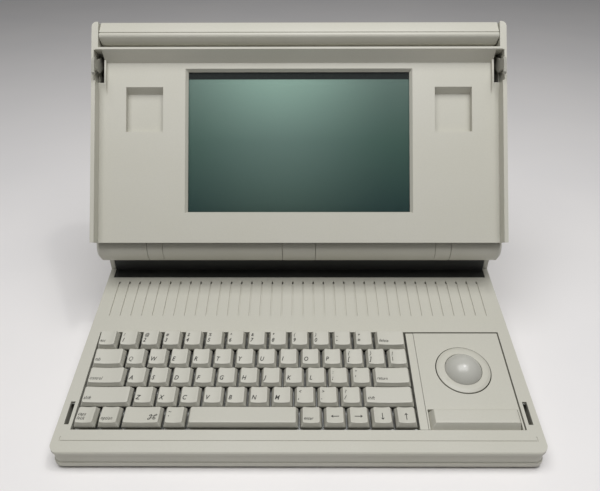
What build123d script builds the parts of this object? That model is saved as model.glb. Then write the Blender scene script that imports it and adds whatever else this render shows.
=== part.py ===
"""Vintage luggable computer with its screen lid open.

Units are millimetres. +X is the user's right, +Y goes back, +Z is up, and the
origin is the middle of the footprint on the table. Three frames are used: the
case's own, the sloping deck's (x, up the slope, out of the deck) and the lid's
(x, up the lid from the hinge axis, out of the screen towards the user).
"""

import math
import os

from build123d import *

# Overall case
case_width = 387.0
case_depth = 365.0
case_height = 103.0
plan_corner_r = 8.0
wall = 2.8
foot_height = 2.0
foot_r = 8.0
foot_inset = 26.0
seam_z = 7.6
seam_gap = 0.3
running_gap = 0.3
lip_overhang = 1.5
lip_height = 3.2
deck_front_z = 20.8
deck_slope = 9.5
deck_past_middle = 2.9
side_draw = 4.0
screw_r = 2.0
boss_r = 4.5
boss_x = 170.0
boss_front = 8.9
boss_back = 14.5
boss_rib = 1.0

# Deck furniture, measured up the slope from the deck's front edge
trim_line_at = 9.8
trim_line_width = 0.8
trim_line_depth = 0.6
trim_line_half = 187.3
trim_line_turn = 4.0
well_front = 19.6
well_depth = 97.4
well_skirt = 12.0
skirt_wall = 1.6
ledge = 5.0
vent_count = 36
vent_pitch = 10.06
vent_middle = -1.2
vent_after_well = 19.4
vent_end = 5.5
vent_width = 1.5
vent_groove = 1.2
vent_hole = 2.2
latch_slot_x = 185.6
latch_slot_width = 3.7
latch_slot_from = 24.2
latch_slot_to = 45.0

# Keyboard
key_pitch = 19.05
key_gap = 1.05
key_rows = [
    [1] + [1] * 12 + [1.5],
    [1.5] + [1] * 13,
    [1.75] + [1] * 11 + [1.75],
    [2.25] + [1] * 10 + [2.25],
    [1, 1, 1.75, 1, 4.75, 1, 1, 1, 1, 1],
]
key_top_h = 6.4
key_skirt_h = -2.0
key_side_draft = 2.3
key_front_draft = 2.6
key_back_draft = 1.4
key_dish = 0.9
key_wall = 1.2
key_roof = 1.6
stem_size = 4.0
stem_clearance = 0.3
stem_end_h = -3.6
switch_size = 12.5
switch_top_h = -3.0
plate_top_h = -7.5
plate_thickness = 1.2
keyboard_pcb_thickness = 1.6
divider_width = 7.0
module_bay = 77.125
module_clearance = 0.3
module_gap = 1.2

# Trackball module
ball_r = 17.0
ball_at = 76.4
ball_clearance = 0.4
ring_outer_r = 23.0
ring_top_h = 1.2
ring_opening_r = 15.7
ring_seat_h = -1.6
ring_groove = 0.7
ring_mark_angle = 215.0
module_top_h = -0.2
module_plate = 2.4
module_skirt = 2.0
module_cheek = 1.4
cup_wall = 1.6
roller_r = 2.0
roller_gap = 0.3
roller_length = 22.0
base_hole_r = 28.5
encoder_r = 5.4
roller_angle = 25.0
roller_post = 1.4
encoder_at = 14.5
encoder_thickness = 1.0
bearing_clearance = 0.05
button_depth = 18.5
button_top_h = 2.6
button_front_draft = 4.4
button_side_draft = 3.8

# Hinge and barrel
hinge_behind_deck = 4.0
hinge_over_deck = 38.0
barrel_r = 16.0
barrel_inset = 3.0
end_cap_width = 4.5
cradle_clearance = 1.2
outer_knuckle_inset = 50.75
outer_knuckle_width = 14.5
centre_knuckle_width = 31.0
knuckle_gap = 0.3
pin_r = 5.0
pin_clearance = 0.05
pin_reach = 32.0
neck_angle = -60.0
neck_width = 9.0
neck_length = 41.0
bracket_ahead = 9.0
bracket_behind = 3.0
trough_wall_behind = 7.5
rear_rim_over_deck = 2.0
cradle_cheek = 4.5

# Lid, measured up from the hinge axis and out from it towards the user
lid_inset = 4.0
lid_lean = 35.6
lid_travel_past = 5.0
face_out = 24.9
rim_out = 36.2
split_out = 20.0
lid_back_low = -17.0
lid_taper = 3.35
lid_top = 202.0
lid_wall = 2.6
lid_shelf = 178.6
rim_width = 3.6
rim_foot = 3.9
top_rim_front = 176.7
top_rim_foot = 167.5
bezel_thickness = 3.4
lid_corner_r = 4.5
lid_border = 12.0
screen_half = 105.6
screen_low = 27.5
screen_high = 162.2
screen_bevel = 2.4
pocket_x = 143.5
pocket_half = 17.2
pocket_low = 103.2
pocket_high = 145.0
pocket_depth = 7.0
pocket_slope = 5.2
pocket_wall = 1.6
glass_thickness = 1.5
panel_thickness = 6.5
panel_margin = 9.0

lid_screw_sunk = 14.0
lid_screw_bite = 3.4
latch_rib_x = 110.0
latch_rib_half = 3.0

# Latch and handle
hook_thickness = 2.4
hook_inset = 4.2
hook_low = 151.4
hook_high = 168.0
hook_out = 44.3
hook_toe = 3.0
hook_window_low = 148.0
hook_window_high = 176.2
hook_window_inner = 9.3
hook_window_outer = 2.1
hook_frame_wall = 1.7
hook_frame_rise = 3.2
hook_frame_foot = 9.0
latch_travel = 3.0
striker_width = 5.6
latch_bar_low = 168.6
latch_bar_high = 175.0
latch_bar_out = 12.0
latch_bar_thickness = 6.0
handle_cheek = 6.0
handle_low = 179.9
handle_seam = 192.0
handle_top = 203.5
handle_back = -5.4
handle_front = 36.0
handle_round = 6.5
handle_travel = 30.0
arm_x = 158.0
arm_width = 14.0
arm_thickness = 4.0
arm_low = 104.0
arm_back = -3.4

# Inside the base and at the back
frame_z = 17.0
frame_thickness = 1.2
board_z = 10.0
board_thickness = 1.6
disk_slot_width = 95.0
disk_slot_height = 5.4
disk_slot_y = 108.0
disk_slot_z = 30.0
disk_reach = 92.0
drive_back_x = 44.0
drive_margin = 9.0
drive_rail = 4.0
drive_height = 24.0
thumb_r = 12.0
thumb_depth = 1.4
port_half = 150.0
port_low = 14.0
port_high = 46.0
port_plate_thickness = 2.0
speaker_y = 62.0
speaker_r = 22.0

front_y = -case_depth / 2
back_y = case_depth / 2
half_width = case_width / 2
deck_length = case_depth / 2 + deck_past_middle
slope_sin = math.sin(math.radians(deck_slope))
slope_cos = math.cos(math.radians(deck_slope))
lean_sin = math.sin(math.radians(lid_lean))
lean_cos = math.cos(math.radians(lid_lean))
taper_rise = math.tan(math.radians(lid_taper))
deck_back_y = front_y + deck_length * slope_cos
deck_back_z = deck_front_z + deck_length * slope_sin
hinge_y = deck_back_y + hinge_behind_deck
hinge_z = deck_back_z + hinge_over_deck
trough_wall_y = hinge_y + trough_wall_behind
rear_rim_z = deck_back_z + rear_rim_over_deck
lid_half = half_width - lid_inset
barrel_half = lid_half - barrel_inset
outer_knuckle_x = barrel_half - outer_knuckle_inset
handle_half = lid_half - handle_cheek - running_gap
cradle_half = half_width - side_draw - cradle_cheek
hook_x = lid_half - hook_inset
boss_ys = (front_y + boss_front, trough_wall_y - 0.5, back_y - boss_back)
well_back = well_front + well_depth
vent_from = well_back + vent_after_well
vent_to = deck_length - vent_end
keyboard_width = sum(key_rows[0]) * key_pitch
keyboard_bay = keyboard_width + 2 * module_clearance + key_gap
well_half = (keyboard_bay + divider_width + module_bay) / 2
keyboard_right = -well_half + keyboard_bay
divider_left = keyboard_right
divider_right = divider_left + divider_width
module_left = divider_right
module_right = well_half - module_gap
module_front = well_front + module_clearance
module_back = well_back - module_gap
ball_x = (module_left + module_right) / 2
button_back = well_front + button_depth
ball_h = ring_top_h - math.sqrt(ball_r**2 - (ring_opening_r - ball_clearance) ** 2)

deck_frame = Plane(
    origin=(0, front_y, deck_front_z), x_dir=(1, 0, 0), z_dir=(0, -slope_sin, slope_cos)
)
lid_frame = Plane(
    origin=(0, hinge_y, hinge_z), x_dir=(1, 0, 0), z_dir=(0, -lean_cos, lean_sin)
)


def block(x0, x1, y0, y1, z0, z1):
    """A box between two opposite corners."""
    place = Pos((x0 + x1) / 2, (y0 + y1) / 2, (z0 + z1) / 2)
    return place * Box(x1 - x0, y1 - y0, z1 - z0)


def rod(radius, x0, x1, y=0.0, z=0.0):
    """A round bar along X."""
    return Pos((x0 + x1) / 2, y, z) * Rot(0, 90, 0) * Cylinder(radius, x1 - x0)


def prism(points, x0, x1):
    """A side view outline in Y and Z, carried along X."""
    outline = make_face(Polyline(*points, close=True))
    return extrude(Plane.YZ.offset(x0) * outline, x1 - x0)


def taper(low, z0, high, z1):
    """A straight-sided form between two rectangles (x0, x1, y0, y1) at two levels."""
    sections = []
    for (x0, x1, y0, y1), z in ((low, z0), (high, z1)):
        sections.append(Pos((x0 + x1) / 2, (y0 + y1) / 2, z) * Rectangle(x1 - x0, y1 - y0))
    return loft(sections, ruled=True)


def plan_form(inset, z0, z1):
    """The case's rounded plan outline, drawn in by an inset, between two levels."""
    outline = RectangleRounded(case_width - 2 * inset, case_depth - 2 * inset, plan_corner_r - inset)
    return extrude(Pos(0, 0, z0) * outline, z1 - z0)


def side_form(inset):
    """The front view of the case: upright sides that draw in above the deck's front edge."""
    x0, x1 = half_width - inset, half_width - inset - side_draw
    points = [(x0, 0), (x0, deck_front_z), (x1, rear_rim_z), (x1, case_height + 2)]
    outline = make_face(Polyline(*points, *[(-x, z) for x, z in reversed(points)], close=True))
    return extrude(Plane.XZ.offset(front_y - 5) * outline, case_depth + 10)


def side_half(z):
    """Half the width inside the case's walls at a height."""
    share = min(1, max(0, (z - deck_front_z) / (rear_rim_z - deck_front_z)))
    return half_width - lip_overhang - wall - share * side_draw


def group(solids):
    """Separate solids kept together in one node."""
    found = []
    for solid in solids:
        found.extend(solid.solids())
    return Compound(children=found)


def mirrored(solid):
    """A solid and its mirror image left of the middle plane."""
    return [solid, mirror(solid, about=Plane.YZ)]


def deck_z(y):
    """The height of the deck's surface above the table at a depth y."""
    return deck_front_z + (y - front_y) * math.tan(math.radians(deck_slope))


def lid_back_out(up):
    """How far out the lid's back surface lies at a height up the lid."""
    return lid_back_low + up * taper_rise


# ---- Base casings ----

boss_places = [(x, y) for x in (-boss_x, boss_x) for y in boss_ys]
foot_places = [(x, y) for x in (-1, 1) for y in (-1, 1)]


def lower_case():
    """Shallow tub with rounded bottom edges, screw bosses and floor ribs."""
    top = seam_z - seam_gap
    tub = plan_form(0.6, foot_height, top)
    tub = chamfer(tub.faces().sort_by(Axis.Z)[0].edges(), 1.6)
    tub -= plan_form(0.6 + wall, foot_height + wall, top + 1)
    floor = foot_height + wall
    for x, y in boss_places:
        tub += Pos(x, y, (floor + top) / 2) * Cylinder(boss_r, top - floor)
    for x in (-120, -40, 40, 120):
        tub += block(x - 1, x + 1, front_y + 30, back_y - 12, floor - 0.1, floor + 1.5)
    for x, y in boss_places:
        tub -= Pos(x, y, floor) * Cylinder(screw_r + 0.2, 20)
        tub -= Pos(x, y, foot_height) * Cylinder(screw_r + 2.0, 3)
    return tub


def upper_case():
    """Sloping deck with its lip, keyboard well, vents and latch slots, and the rear walls."""
    low = seam_z
    past = trough_wall_y
    outline = [
        (front_y, low),
        (front_y, deck_front_z - 0.8),
        (front_y + 0.8, deck_z(front_y + 0.8)),
        (past, deck_z(past)),
        (past, rear_rim_z),
        (back_y, rear_rim_z),
        (back_y, low),
    ]
    body = prism(outline, -half_width, half_width) & plan_form(0, 0, case_height)
    under_lip = [
        (front_y - 1, low - 1),
        (front_y - 1, deck_front_z - lip_height),
        (deck_back_y - 6, deck_z(deck_back_y - 6) - lip_height),
        (deck_back_y - 6, low - 1),
    ]
    skin = plan_form(-1, 0, case_height) - plan_form(lip_overhang, -1, case_height + 1)
    body -= prism(under_lip, -half_width - 2, half_width + 2) & skin
    inside_x = half_width - lip_overhang - wall
    front_in = front_y + lip_overhang + wall
    back_in = past + 1
    inside = [
        (front_in, low - 1),
        (front_in, deck_z(front_in) - wall),
        (back_in, deck_z(back_in) - wall),
        (back_in, rear_rim_z + 1),
        (back_y - wall, rear_rim_z + 1),
        (back_y - wall, low - 1),
    ]
    body -= prism(inside, -inside_x, inside_x) & side_form(lip_overhang + wall)
    strip = [
        (deck_back_y, deck_z(deck_back_y) + 1),
        (past + 2, deck_z(past) + 2),
        (past + 2, deck_z(past) - 1.5),
        (deck_back_y, deck_z(deck_back_y) - 1.5),
    ]
    body -= prism(strip, -cradle_half, cradle_half)
    body += deck_frame * well_skirting()
    body -= deck_frame * deck_cuts()
    body -= rear_cuts()
    for x, y in boss_places:
        top = deck_z(y) - wall + 0.5 if y < trough_wall_y else frame_z
        body += Pos(x, y, (low + top) / 2) * Cylinder(boss_r, top - low)
        x0, x1 = sorted((x, math.copysign(inside_x + 0.5, x)))
        body += block(x0, x1, y - boss_rib, y + boss_rib, low, top)
        body -= Pos(x, y, low) * Cylinder(screw_r, 16)
    return body & side_form(0)


def well_skirting():
    """The well's side walls with the ledge that the modules rest on."""
    outer = block(
        -well_half - skirt_wall, well_half + skirt_wall,
        well_front - skirt_wall, well_back + skirt_wall,
        -well_skirt - skirt_wall, -wall / 2,
    )
    outer -= block(-well_half, well_half, well_front, well_back, -well_skirt, 1)
    return outer - block(
        -well_half + ledge, well_half - ledge, well_front + ledge, well_back - ledge, -well_skirt - 5, 1
    )


def deck_cuts():
    """Everything that is cut into the deck: well, vents, latch slots and the trim line."""
    cuts = [block(-well_half, well_half, well_front, well_back, -wall - 1, 2)]
    for n in range(vent_count):
        x = vent_middle + (n - (vent_count - 1) / 2) * vent_pitch
        side = vent_width / 2
        cuts.append(block(x - side, x + side, vent_from, vent_to, -vent_groove, 2))
        cuts.append(block(x - side, x + side, vent_to - vent_hole, vent_to, -wall - 1, -vent_groove + 0.1))
    for side in (-1, 1):
        x = side * latch_slot_x
        half = latch_slot_width / 2
        cuts.append(block(x - half, x + half, latch_slot_from, latch_slot_to, -3 * wall, 2))
        end = side * trim_line_half
        x0, x1 = sorted((end, end - side * trim_line_width))
        cuts.append(
            block(x0, x1, trim_line_at, trim_line_at + trim_line_turn, -trim_line_depth, 2)
        )
    cuts.append(
        block(
            -trim_line_half, trim_line_half,
            trim_line_at, trim_line_at + trim_line_width, -trim_line_depth, 2,
        )
    )
    return Part() + cuts


def rear_cuts():
    """The port opening in the back wall and the right wall's opening for the drive's front."""
    ports = block(-port_half, port_half, back_y - wall - 2, back_y + 2, port_low, port_high)
    y0, y1, z0 = drive_bay()
    return Part() + [ports, block(half_width - 10, half_width + 2, y0, y1, z0, rear_rim_z + 1)]


def drive_bay():
    """Front, back and foot of the right wall's opening for the drive's front."""
    reach = disk_slot_width / 2 + drive_margin
    return disk_slot_y - reach, disk_slot_y + reach, disk_slot_z - disk_slot_height / 2 - drive_margin


def drive_front():
    """The drive's moulded front in the right wall: four bars round the disk slot, with a thumb recess."""
    y0, y1, z0 = drive_bay()
    y0, y1, z0, z1 = y0 + running_gap, y1 - running_gap, z0 + running_gap, rear_rim_z
    slot_y = disk_slot_y - disk_slot_width / 2, disk_slot_y + disk_slot_width / 2
    slot_z = disk_slot_z - disk_slot_height / 2, disk_slot_z + disk_slot_height / 2
    bars = [
        (y0, y1, z0, slot_z[0]), (y0, y1, slot_z[1], z1),
        (y0, slot_y[0], *slot_z), (slot_y[1], y1, *slot_z),
    ]
    thumb = Pos(half_width, disk_slot_y, disk_slot_z) * Cylinder(thumb_r, 2 * thumb_r)
    thumb &= block(half_width - lip_overhang - thumb_depth, half_width + 2, 0, back_y, 0, case_height)
    skin = side_form(0) - side_form(lip_overhang + wall)
    return group((block(0, half_width + 2, *bar) & skin) - thumb for bar in bars)


cradle_sheet = 2.2
slant_angle = 90 - lid_lean - lid_travel_past + lid_taper
slant_r = barrel_r + cradle_clearance
slant_start_y = hinge_y + slant_r * math.sin(math.radians(slant_angle))
slant_start_z = hinge_z - slant_r * math.cos(math.radians(slant_angle))
slant_top_y = slant_start_y + (case_height - slant_start_z) / math.tan(math.radians(slant_angle))


def cradle_line():
    """Points round the trough behind the barrel, from its foot to the slanted face."""
    foot = [(trough_wall_y, rear_rim_z + seam_gap)]
    turn = math.degrees(math.asin((trough_wall_y - hinge_y) / slant_r))
    for n in range(4):
        angle = math.radians(turn + (slant_angle - turn) * n / 3)
        foot.append((hinge_y + slant_r * math.sin(angle), hinge_z - slant_r * math.cos(angle)))
    return foot


def rear_cover():
    """Full-height hood over the rear bay, with the slanted face that the open lid leans over."""
    front = cradle_line()
    outline = front + [
        (slant_top_y, case_height),
        (back_y - 5, case_height),
        (back_y, case_height - 5),
        (back_y, rear_rim_z + seam_gap),
    ]
    hood = prism(outline, -half_width, half_width) & plan_form(0, 0, case_height + 1) & side_form(0)
    inner = [
        (front[0][0] + wall, rear_rim_z),
        (front[1][0] + wall, front[1][1] - 1),
        (front[-1][0] + wall, front[-1][1] - 1),
        (slant_top_y + 1.2, case_height - wall),
        (back_y - 6, case_height - wall),
        (back_y - wall, case_height - 6.2),
        (back_y - wall, rear_rim_z),
    ]
    inner_half = half_width - side_draw - wall
    hood -= prism(inner, -inner_half, inner_half)
    opening = block(
        -cradle_half - 0.2, cradle_half + 0.2,
        trough_wall_y - 1, slant_start_y + cradle_sheet + 0.4, rear_rim_z - 1, slant_start_z + 0.3,
    )
    hood -= opening
    for n in range(5):
        y = slant_top_y + 12 + n * 3
        hood -= block(-60, 60, y, y + 1, case_height - 0.8, case_height + 1)
    return hood


def hinge_cradle():
    """The dark trough under the barrel, with a notch for each hinge neck."""
    front = cradle_line()
    ledge_y = deck_back_y + 0.2
    outline = [(ledge_y, deck_z(ledge_y) - 0.3), (trough_wall_y, deck_z(trough_wall_y) - 0.3)]
    outline += front
    outline += [(y + cradle_sheet, z - 0.6) for y, z in reversed(front[1:])]
    outline += [
        (trough_wall_y + cradle_sheet, rear_rim_z - 1),
        (trough_wall_y + 0.9, deck_z(trough_wall_y) - 1.5),
        (ledge_y, deck_z(ledge_y) - 1.5),
    ]
    return prism(outline, -cradle_half, cradle_half) - necks(0.3)


def port_panel():
    """Plate behind the back wall that carries the connectors."""
    face = back_y - wall
    plate = block(
        -port_half - 4, port_half + 4, face - port_plate_thickness, face, port_low - 3, port_high + 3
    )
    for solid in connector_bodies(0.2):
        plate -= solid
    return plate


d_ports = [(-92, 15), (-36, 19), (22, 25)]
round_ports = [-132, 62, 84]
port_z = 30.0


def connector_bodies(grow):
    """The connectors' bodies where they pass through the plate, grown by a clearance."""
    face = back_y - wall
    bodies = []
    for x, pins in d_ports:
        half = 6 + pins * 0.72 + grow
        bodies.append(block(x - half, x + half, face - 6, face + 2, port_z - 5 - grow, port_z + 5 + grow))
    for x in round_ports:
        bodies.append(Pos(x, face - 3, port_z) * Rot(90, 0, 0) * Cylinder(6.5 + grow, 10))
    bodies.append(Pos(106, face - 3, port_z) * Rot(90, 0, 0) * Cylinder(4 + grow, 10))
    bodies.append(Pos(122, face - 3, port_z) * Rot(90, 0, 0) * Cylinder(5.5 + grow, 10))
    return bodies


def port_shells():
    """Metal D-shaped shells, each open to the back."""
    face = back_y - wall
    shells = []
    for x, pins in d_ports:
        half = 6 + pins * 0.72
        outer = block(x - half, x + half, face - 6, face + 2, port_z - 5, port_z + 5)
        outer = fillet(outer.edges().filter_by(Axis.Y), 2)
        shells.append(outer - block(x - half + 1, x + half - 1, face - 4, face + 3, port_z - 4, port_z + 4))
    return group(shells)


def port_cores():
    """Dark plastic cores inside the D-shaped shells."""
    face = back_y - wall
    return group(
        block(x - 4 - pins * 0.72, x + 4 + pins * 0.72, face - 4, face - 0.5, port_z - 3, port_z + 3)
        for x, pins in d_ports
    )


def round_sockets():
    """Round sockets: three small multi-pin ones and one for sound."""
    face = back_y - wall
    sockets = []
    for x in round_ports:
        body = Pos(x, face - 3, port_z) * Rot(90, 0, 0) * Cylinder(6.5, 10)
        body -= Pos(x, face + 1, port_z) * Rot(90, 0, 0) * (Cylinder(5.2, 6) - Cylinder(3.4, 6))
        sockets.append(body)
    jack = Pos(106, face - 3, port_z) * Rot(90, 0, 0) * (Cylinder(4, 10) - Cylinder(1.8, 10))
    return group(sockets + [jack])


def power_inlet():
    """Round socket for the power lead, with its middle pin."""
    face = back_y - wall
    body = Pos(122, face - 3, port_z) * Rot(90, 0, 0) * Cylinder(5.5, 10)
    return body - Pos(122, face + 0.5, port_z) * Rot(90, 0, 0) * (Cylinder(3.2, 7) - Cylinder(1.1, 7))


def feet():
    """Four round rubber feet."""
    x = half_width - foot_inset
    y = back_y - foot_inset
    solids = []
    for side, end in foot_places:
        foot = Pos(side * x, end * y, foot_height / 2) * Cylinder(foot_r, foot_height)
        solids.append(chamfer(foot.faces().sort_by(Axis.Z)[0].edges(), 0.5))
    return group(solids)


def case_screws():
    """Screws that come up through the lower case into the bosses."""
    solids = []
    for x, y in boss_places:
        head = Pos(x, y, foot_height + 0.9) * Cylinder(screw_r + 1.6, 1.2)
        solids.append(head + Pos(x, y, foot_height + 4.5) * Cylinder(screw_r - 0.1, 7))
    return group(solids)


# ---- Hinge ----

knuckle_spans = [
    (-outer_knuckle_x - outer_knuckle_width / 2, -outer_knuckle_x + outer_knuckle_width / 2),
    (-centre_knuckle_width / 2, centre_knuckle_width / 2),
    (outer_knuckle_x - outer_knuckle_width / 2, outer_knuckle_x + outer_knuckle_width / 2),
]


def necks(grow):
    """The bars that carry the base's knuckles, leaning down and back from the hinge axis."""
    bars = []
    for x0, x1 in knuckle_spans:
        inset = 0.8 - grow
        half = neck_width / 2 + grow
        bar = block(x0 + inset, x1 - inset, 0, neck_length + grow, -half, half)
        bars.append(Pos(0, hinge_y, hinge_z) * Rot(neck_angle, 0, 0) * bar)
    return Part() + bars


def base_knuckles():
    """Three barrel pieces fixed to the base, each on a neck, bored for the pins."""
    solid = necks(0)
    for x0, x1 in knuckle_spans:
        solid += rod(barrel_r, x0, x1, hinge_y, hinge_z)
    solid -= rod(pin_r + 0.01, -barrel_half, barrel_half, hinge_y, hinge_z)
    return group([solid])


def hinge_brackets():
    """Folded steel supports from the inner frame up to the necks."""
    solids = []
    angle = math.radians(neck_angle)
    y_mid = hinge_y + (neck_length - 3) * math.cos(angle)
    top = hinge_z + (neck_length - 3) * math.sin(angle)
    for x0, x1 in knuckle_spans:
        y0, y1 = y_mid - bracket_ahead, y_mid + bracket_behind
        post = block(x0, x1, y0, y1, frame_z + frame_thickness, top + 3)
        post -= block(x0 + 1.6, x1 - 1.6, y0 - 1, y1 - 1.6, frame_z + frame_thickness + 1.6, top + 9)
        solids.append(post)
    return group([Part() + solids - necks(0.05)])


def hinge_pins():
    """Steel pins, one through each of the base's knuckles."""
    solids = []
    for x0, x1 in knuckle_spans:
        pin = rod(pin_r, x0 - pin_reach, x1 + pin_reach, hinge_y, hinge_z)
        solids.append(pin)
    return group(solids)


def lid_knuckles():
    """Four barrel pieces that turn with the lid, with webs up into its shell."""
    edges = [-barrel_half]
    for x0, x1 in knuckle_spans:
        edges += [x0, x1]
    edges.append(barrel_half)
    solids = []
    for n in range(0, len(edges), 2):
        x0 = edges[n] + (knuckle_gap if n else 0)
        x1 = edges[n + 1] - (knuckle_gap if n < 6 else 0)
        piece = rod(barrel_r, x0, x1)
        piece += block(x0 + 3, x1 - 3, 6, barrel_r + 7, lid_back_out(0) + lid_wall + 1.6, -5)
        for k0, k1 in knuckle_spans:
            bore0, bore1 = k0 - pin_reach - 0.5, k1 + pin_reach + 0.5
            piece -= rod(pin_r + pin_clearance, bore0, bore1)
        solids.append(lid_frame * piece)
    return group(solids)


def barrel_caps():
    """Domed caps on the barrel's two ends."""
    cap = rod(barrel_r, barrel_half, barrel_half + end_cap_width)
    cap = chamfer(cap.faces().sort_by(Axis.X)[-1].edges(), 2.4)
    return group([lid_frame * c for c in mirrored(cap)])


# ---- Lid ----


def lid_back():
    """The lid's outer shell: tapered back, two cheeks beside the handle, barrel relief."""
    outline = [
        (0, lid_back_out(0)),
        (lid_top, lid_back_out(lid_top)),
        (lid_top, split_out),
        (0, split_out),
    ]
    shell = prism(outline, -lid_half, lid_half)
    back_edges = shell.faces().sort_by(Axis.Z)[0].edges()
    shell = fillet(back_edges, 5)
    inner = [
        (-1, lid_back_out(-1) + lid_wall),
        (lid_shelf - lid_wall, lid_back_out(lid_shelf - lid_wall) + lid_wall),
        (lid_shelf - lid_wall, split_out + 1),
        (-1, split_out + 1),
    ]
    shell -= prism(inner, -lid_half + lid_wall, lid_half - lid_wall)
    shell -= handle_bay()
    shell -= rod(barrel_r + 0.6, -lid_half - 1, lid_half + 1)
    for side in (-1, 1):
        x = side * arm_x
        shell -= block(
            x - arm_width / 2 - 0.4, x + arm_width / 2 + 0.4,
            lid_shelf - 10, lid_shelf + 1, arm_back - 0.4, arm_back + arm_thickness + 0.4,
        )
        shell += latch_rib(side * latch_rib_x)
    for x, up in lid_boss_places:
        low = lid_back_out(up) + lid_wall / 2
        shell += Pos(x, up, (low + split_out) / 2) * Cylinder(boss_r, split_out - low)
        shell -= Pos(x, up, split_out) * Cylinder(screw_r + 0.2, 90)
        head_top = lid_back_out(up) + lid_screw_sunk + 2.2
        shell -= Pos(x, up, head_top - 10) * Cylinder(screw_r + 1.4, 20)
    return lid_frame * shell


def latch_rib(x):
    """A rib inside the shell with the channel that the latch bar slides in."""
    up0 = latch_bar_low - latch_travel - running_gap
    up1 = latch_bar_high + running_gap
    seat = latch_bar_out - latch_bar_thickness - running_gap
    x0, x1 = x - latch_rib_half, x + latch_rib_half
    rib = block(x0, x1, up0 - 2, up1 + 2, lid_back_out(up0) + lid_wall / 2, latch_bar_out)
    return rib - block(x0 - 1, x1 + 1, up0, up1, seat, latch_bar_out + 1)


lid_boss_x = lid_half - lid_wall - boss_r + 0.2
lid_boss_places = [(side * lid_boss_x, up) for side in (-1, 1) for up in (34, 136)]


def handle_bay():
    """The space that the handle fills between the lid's cheeks."""
    half = handle_half + running_gap
    return block(-half, half, lid_shelf, lid_top + 20, -40, 60)


def lid_bezel():
    """Front of the lid: recessed face, raised rims, screen opening, pockets and latch windows."""
    bezel = block(-lid_half, lid_half, 0, lid_top, split_out, rim_out)
    corners = bezel.edges().filter_by(Axis.Z).sort_by(Axis.Y)[-2:]
    bezel = fillet(corners, lid_corner_r)
    bezel -= handle_bay()
    foot = lid_half - rim_foot
    rim = lid_half - rim_width
    rise = rim_out - face_out
    over = 1 + 1 / rise
    bezel -= taper(
        (-foot, foot, -5, top_rim_foot), face_out,
        (-foot - (rim - foot) * over, foot + (rim - foot) * over,
         -5, top_rim_foot + (top_rim_front - top_rim_foot) * over), rim_out + 1,
    )
    bezel -= block(
        -lid_half + lid_border, lid_half - lid_border, 3, top_rim_foot - 3,
        split_out - 1, face_out - bezel_thickness,
    )
    for x in (-pocket_x, pocket_x):
        bezel += pocket_box(x, pocket_wall)
        bezel -= pocket_box(x, 0)
    bezel -= taper(
        (-screen_half + screen_bevel, screen_half - screen_bevel,
         screen_low + screen_bevel * 0.5, screen_high - screen_bevel), face_out - bezel_thickness - 0.01,
        (-screen_half, screen_half, screen_low, screen_high), face_out + 0.01,
    )
    x0, x1 = lid_half - hook_window_inner, lid_half - hook_window_outer
    wedge_low = hook_window_low - hook_frame_wall
    frame = block(
        x0 - hook_frame_wall, lid_half - rim_width / 2,
        wedge_low, top_rim_foot + 2, face_out - 1, face_out + hook_frame_rise,
    )
    wedge = [
        (wedge_low, face_out - 1), (wedge_low, face_out + hook_frame_rise),
        (wedge_low - hook_frame_foot, face_out), (wedge_low - hook_frame_foot, face_out - 1),
    ]
    frame += prism(wedge, x0 - hook_frame_wall, lid_half - rim_width / 2)
    window = block(x0, x1, hook_window_low, hook_window_high, split_out - 1, rim_out + 1)
    for solid in mirrored(frame):
        bezel += solid
    for solid in mirrored(window):
        bezel -= solid
    for x, up in lid_boss_places:
        bezel -= Pos(x, up, split_out) * Cylinder(screw_r, 2 * lid_screw_bite)
    bezel -= rod(barrel_r + 0.6, -lid_half - 1, lid_half + 1)
    return lid_frame * bezel


def pocket_box(x, grow):
    """The square pocket that clears the ball; grown, it is the pocket's outer wall."""
    floor = face_out - pocket_depth - grow
    top = face_out + (0.01 if grow == 0 else -0.5)
    return taper(
        (x - pocket_half - grow, x + pocket_half + grow, pocket_low - grow + 0.3,
         pocket_high - pocket_slope + grow), floor,
        (x - pocket_half - grow, x + pocket_half + grow, pocket_low - grow, pocket_high + grow), top,
    )


window_out = face_out - bezel_thickness


def display_window():
    """Clear sheet behind the screen opening."""
    return lid_frame * block(
        -screen_half - 1, screen_half + 1, screen_low - 1, screen_high + 1,
        window_out - glass_thickness, window_out,
    )


def display_panel():
    """The liquid crystal panel behind the clear sheet."""
    top = window_out - glass_thickness
    return lid_frame * block(
        -screen_half - panel_margin, screen_half + panel_margin,
        screen_low - 6, screen_high + 4, top - panel_thickness, top,
    )


def display_frame():
    """Folded metal tray that holds the panel and its driver board."""
    top = window_out - glass_thickness - panel_thickness
    half = screen_half + panel_margin + 6
    tray = block(-half, half, screen_low - 9, screen_high + 2, top - 1.2, top)
    for x0, x1 in ((-half, -half + 1.2), (half - 1.2, half)):
        tray += block(x0, x1, screen_low - 9, screen_high + 2, top - 1.2, window_out)
    tray -= block(-half + 25, half - 25, screen_low + 15, screen_high - 15, top - 2, top + 1)
    return lid_frame * tray


def driver_board():
    """Circuit board behind the panel, with its chips."""
    top = window_out - glass_thickness - panel_thickness - 1.2
    board = block(-screen_half, screen_half, screen_low + 4, screen_high - 10, top - board_thickness, top)
    for n in range(5):
        x = (n - 2) * 36
        board += block(x - 8, x + 8, 60, 76, top - board_thickness - 2, top - board_thickness)
    return lid_frame * board


def lid_screws():
    """Screws up through the lid's bosses into the bezel's rims."""
    solids = []
    for x, up in lid_boss_places:
        low, top = lid_back_out(up) + lid_screw_sunk, split_out + lid_screw_bite - 0.5
        screw = Pos(x, up, (low + top) / 2) * Cylinder(screw_r - 0.1, top - low)
        screw += Pos(x, up, low + 1) * Cylinder(screw_r + 1, 2)
        solids.append(lid_frame * screw)
    return group(solids)


# ---- Latch ----


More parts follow.
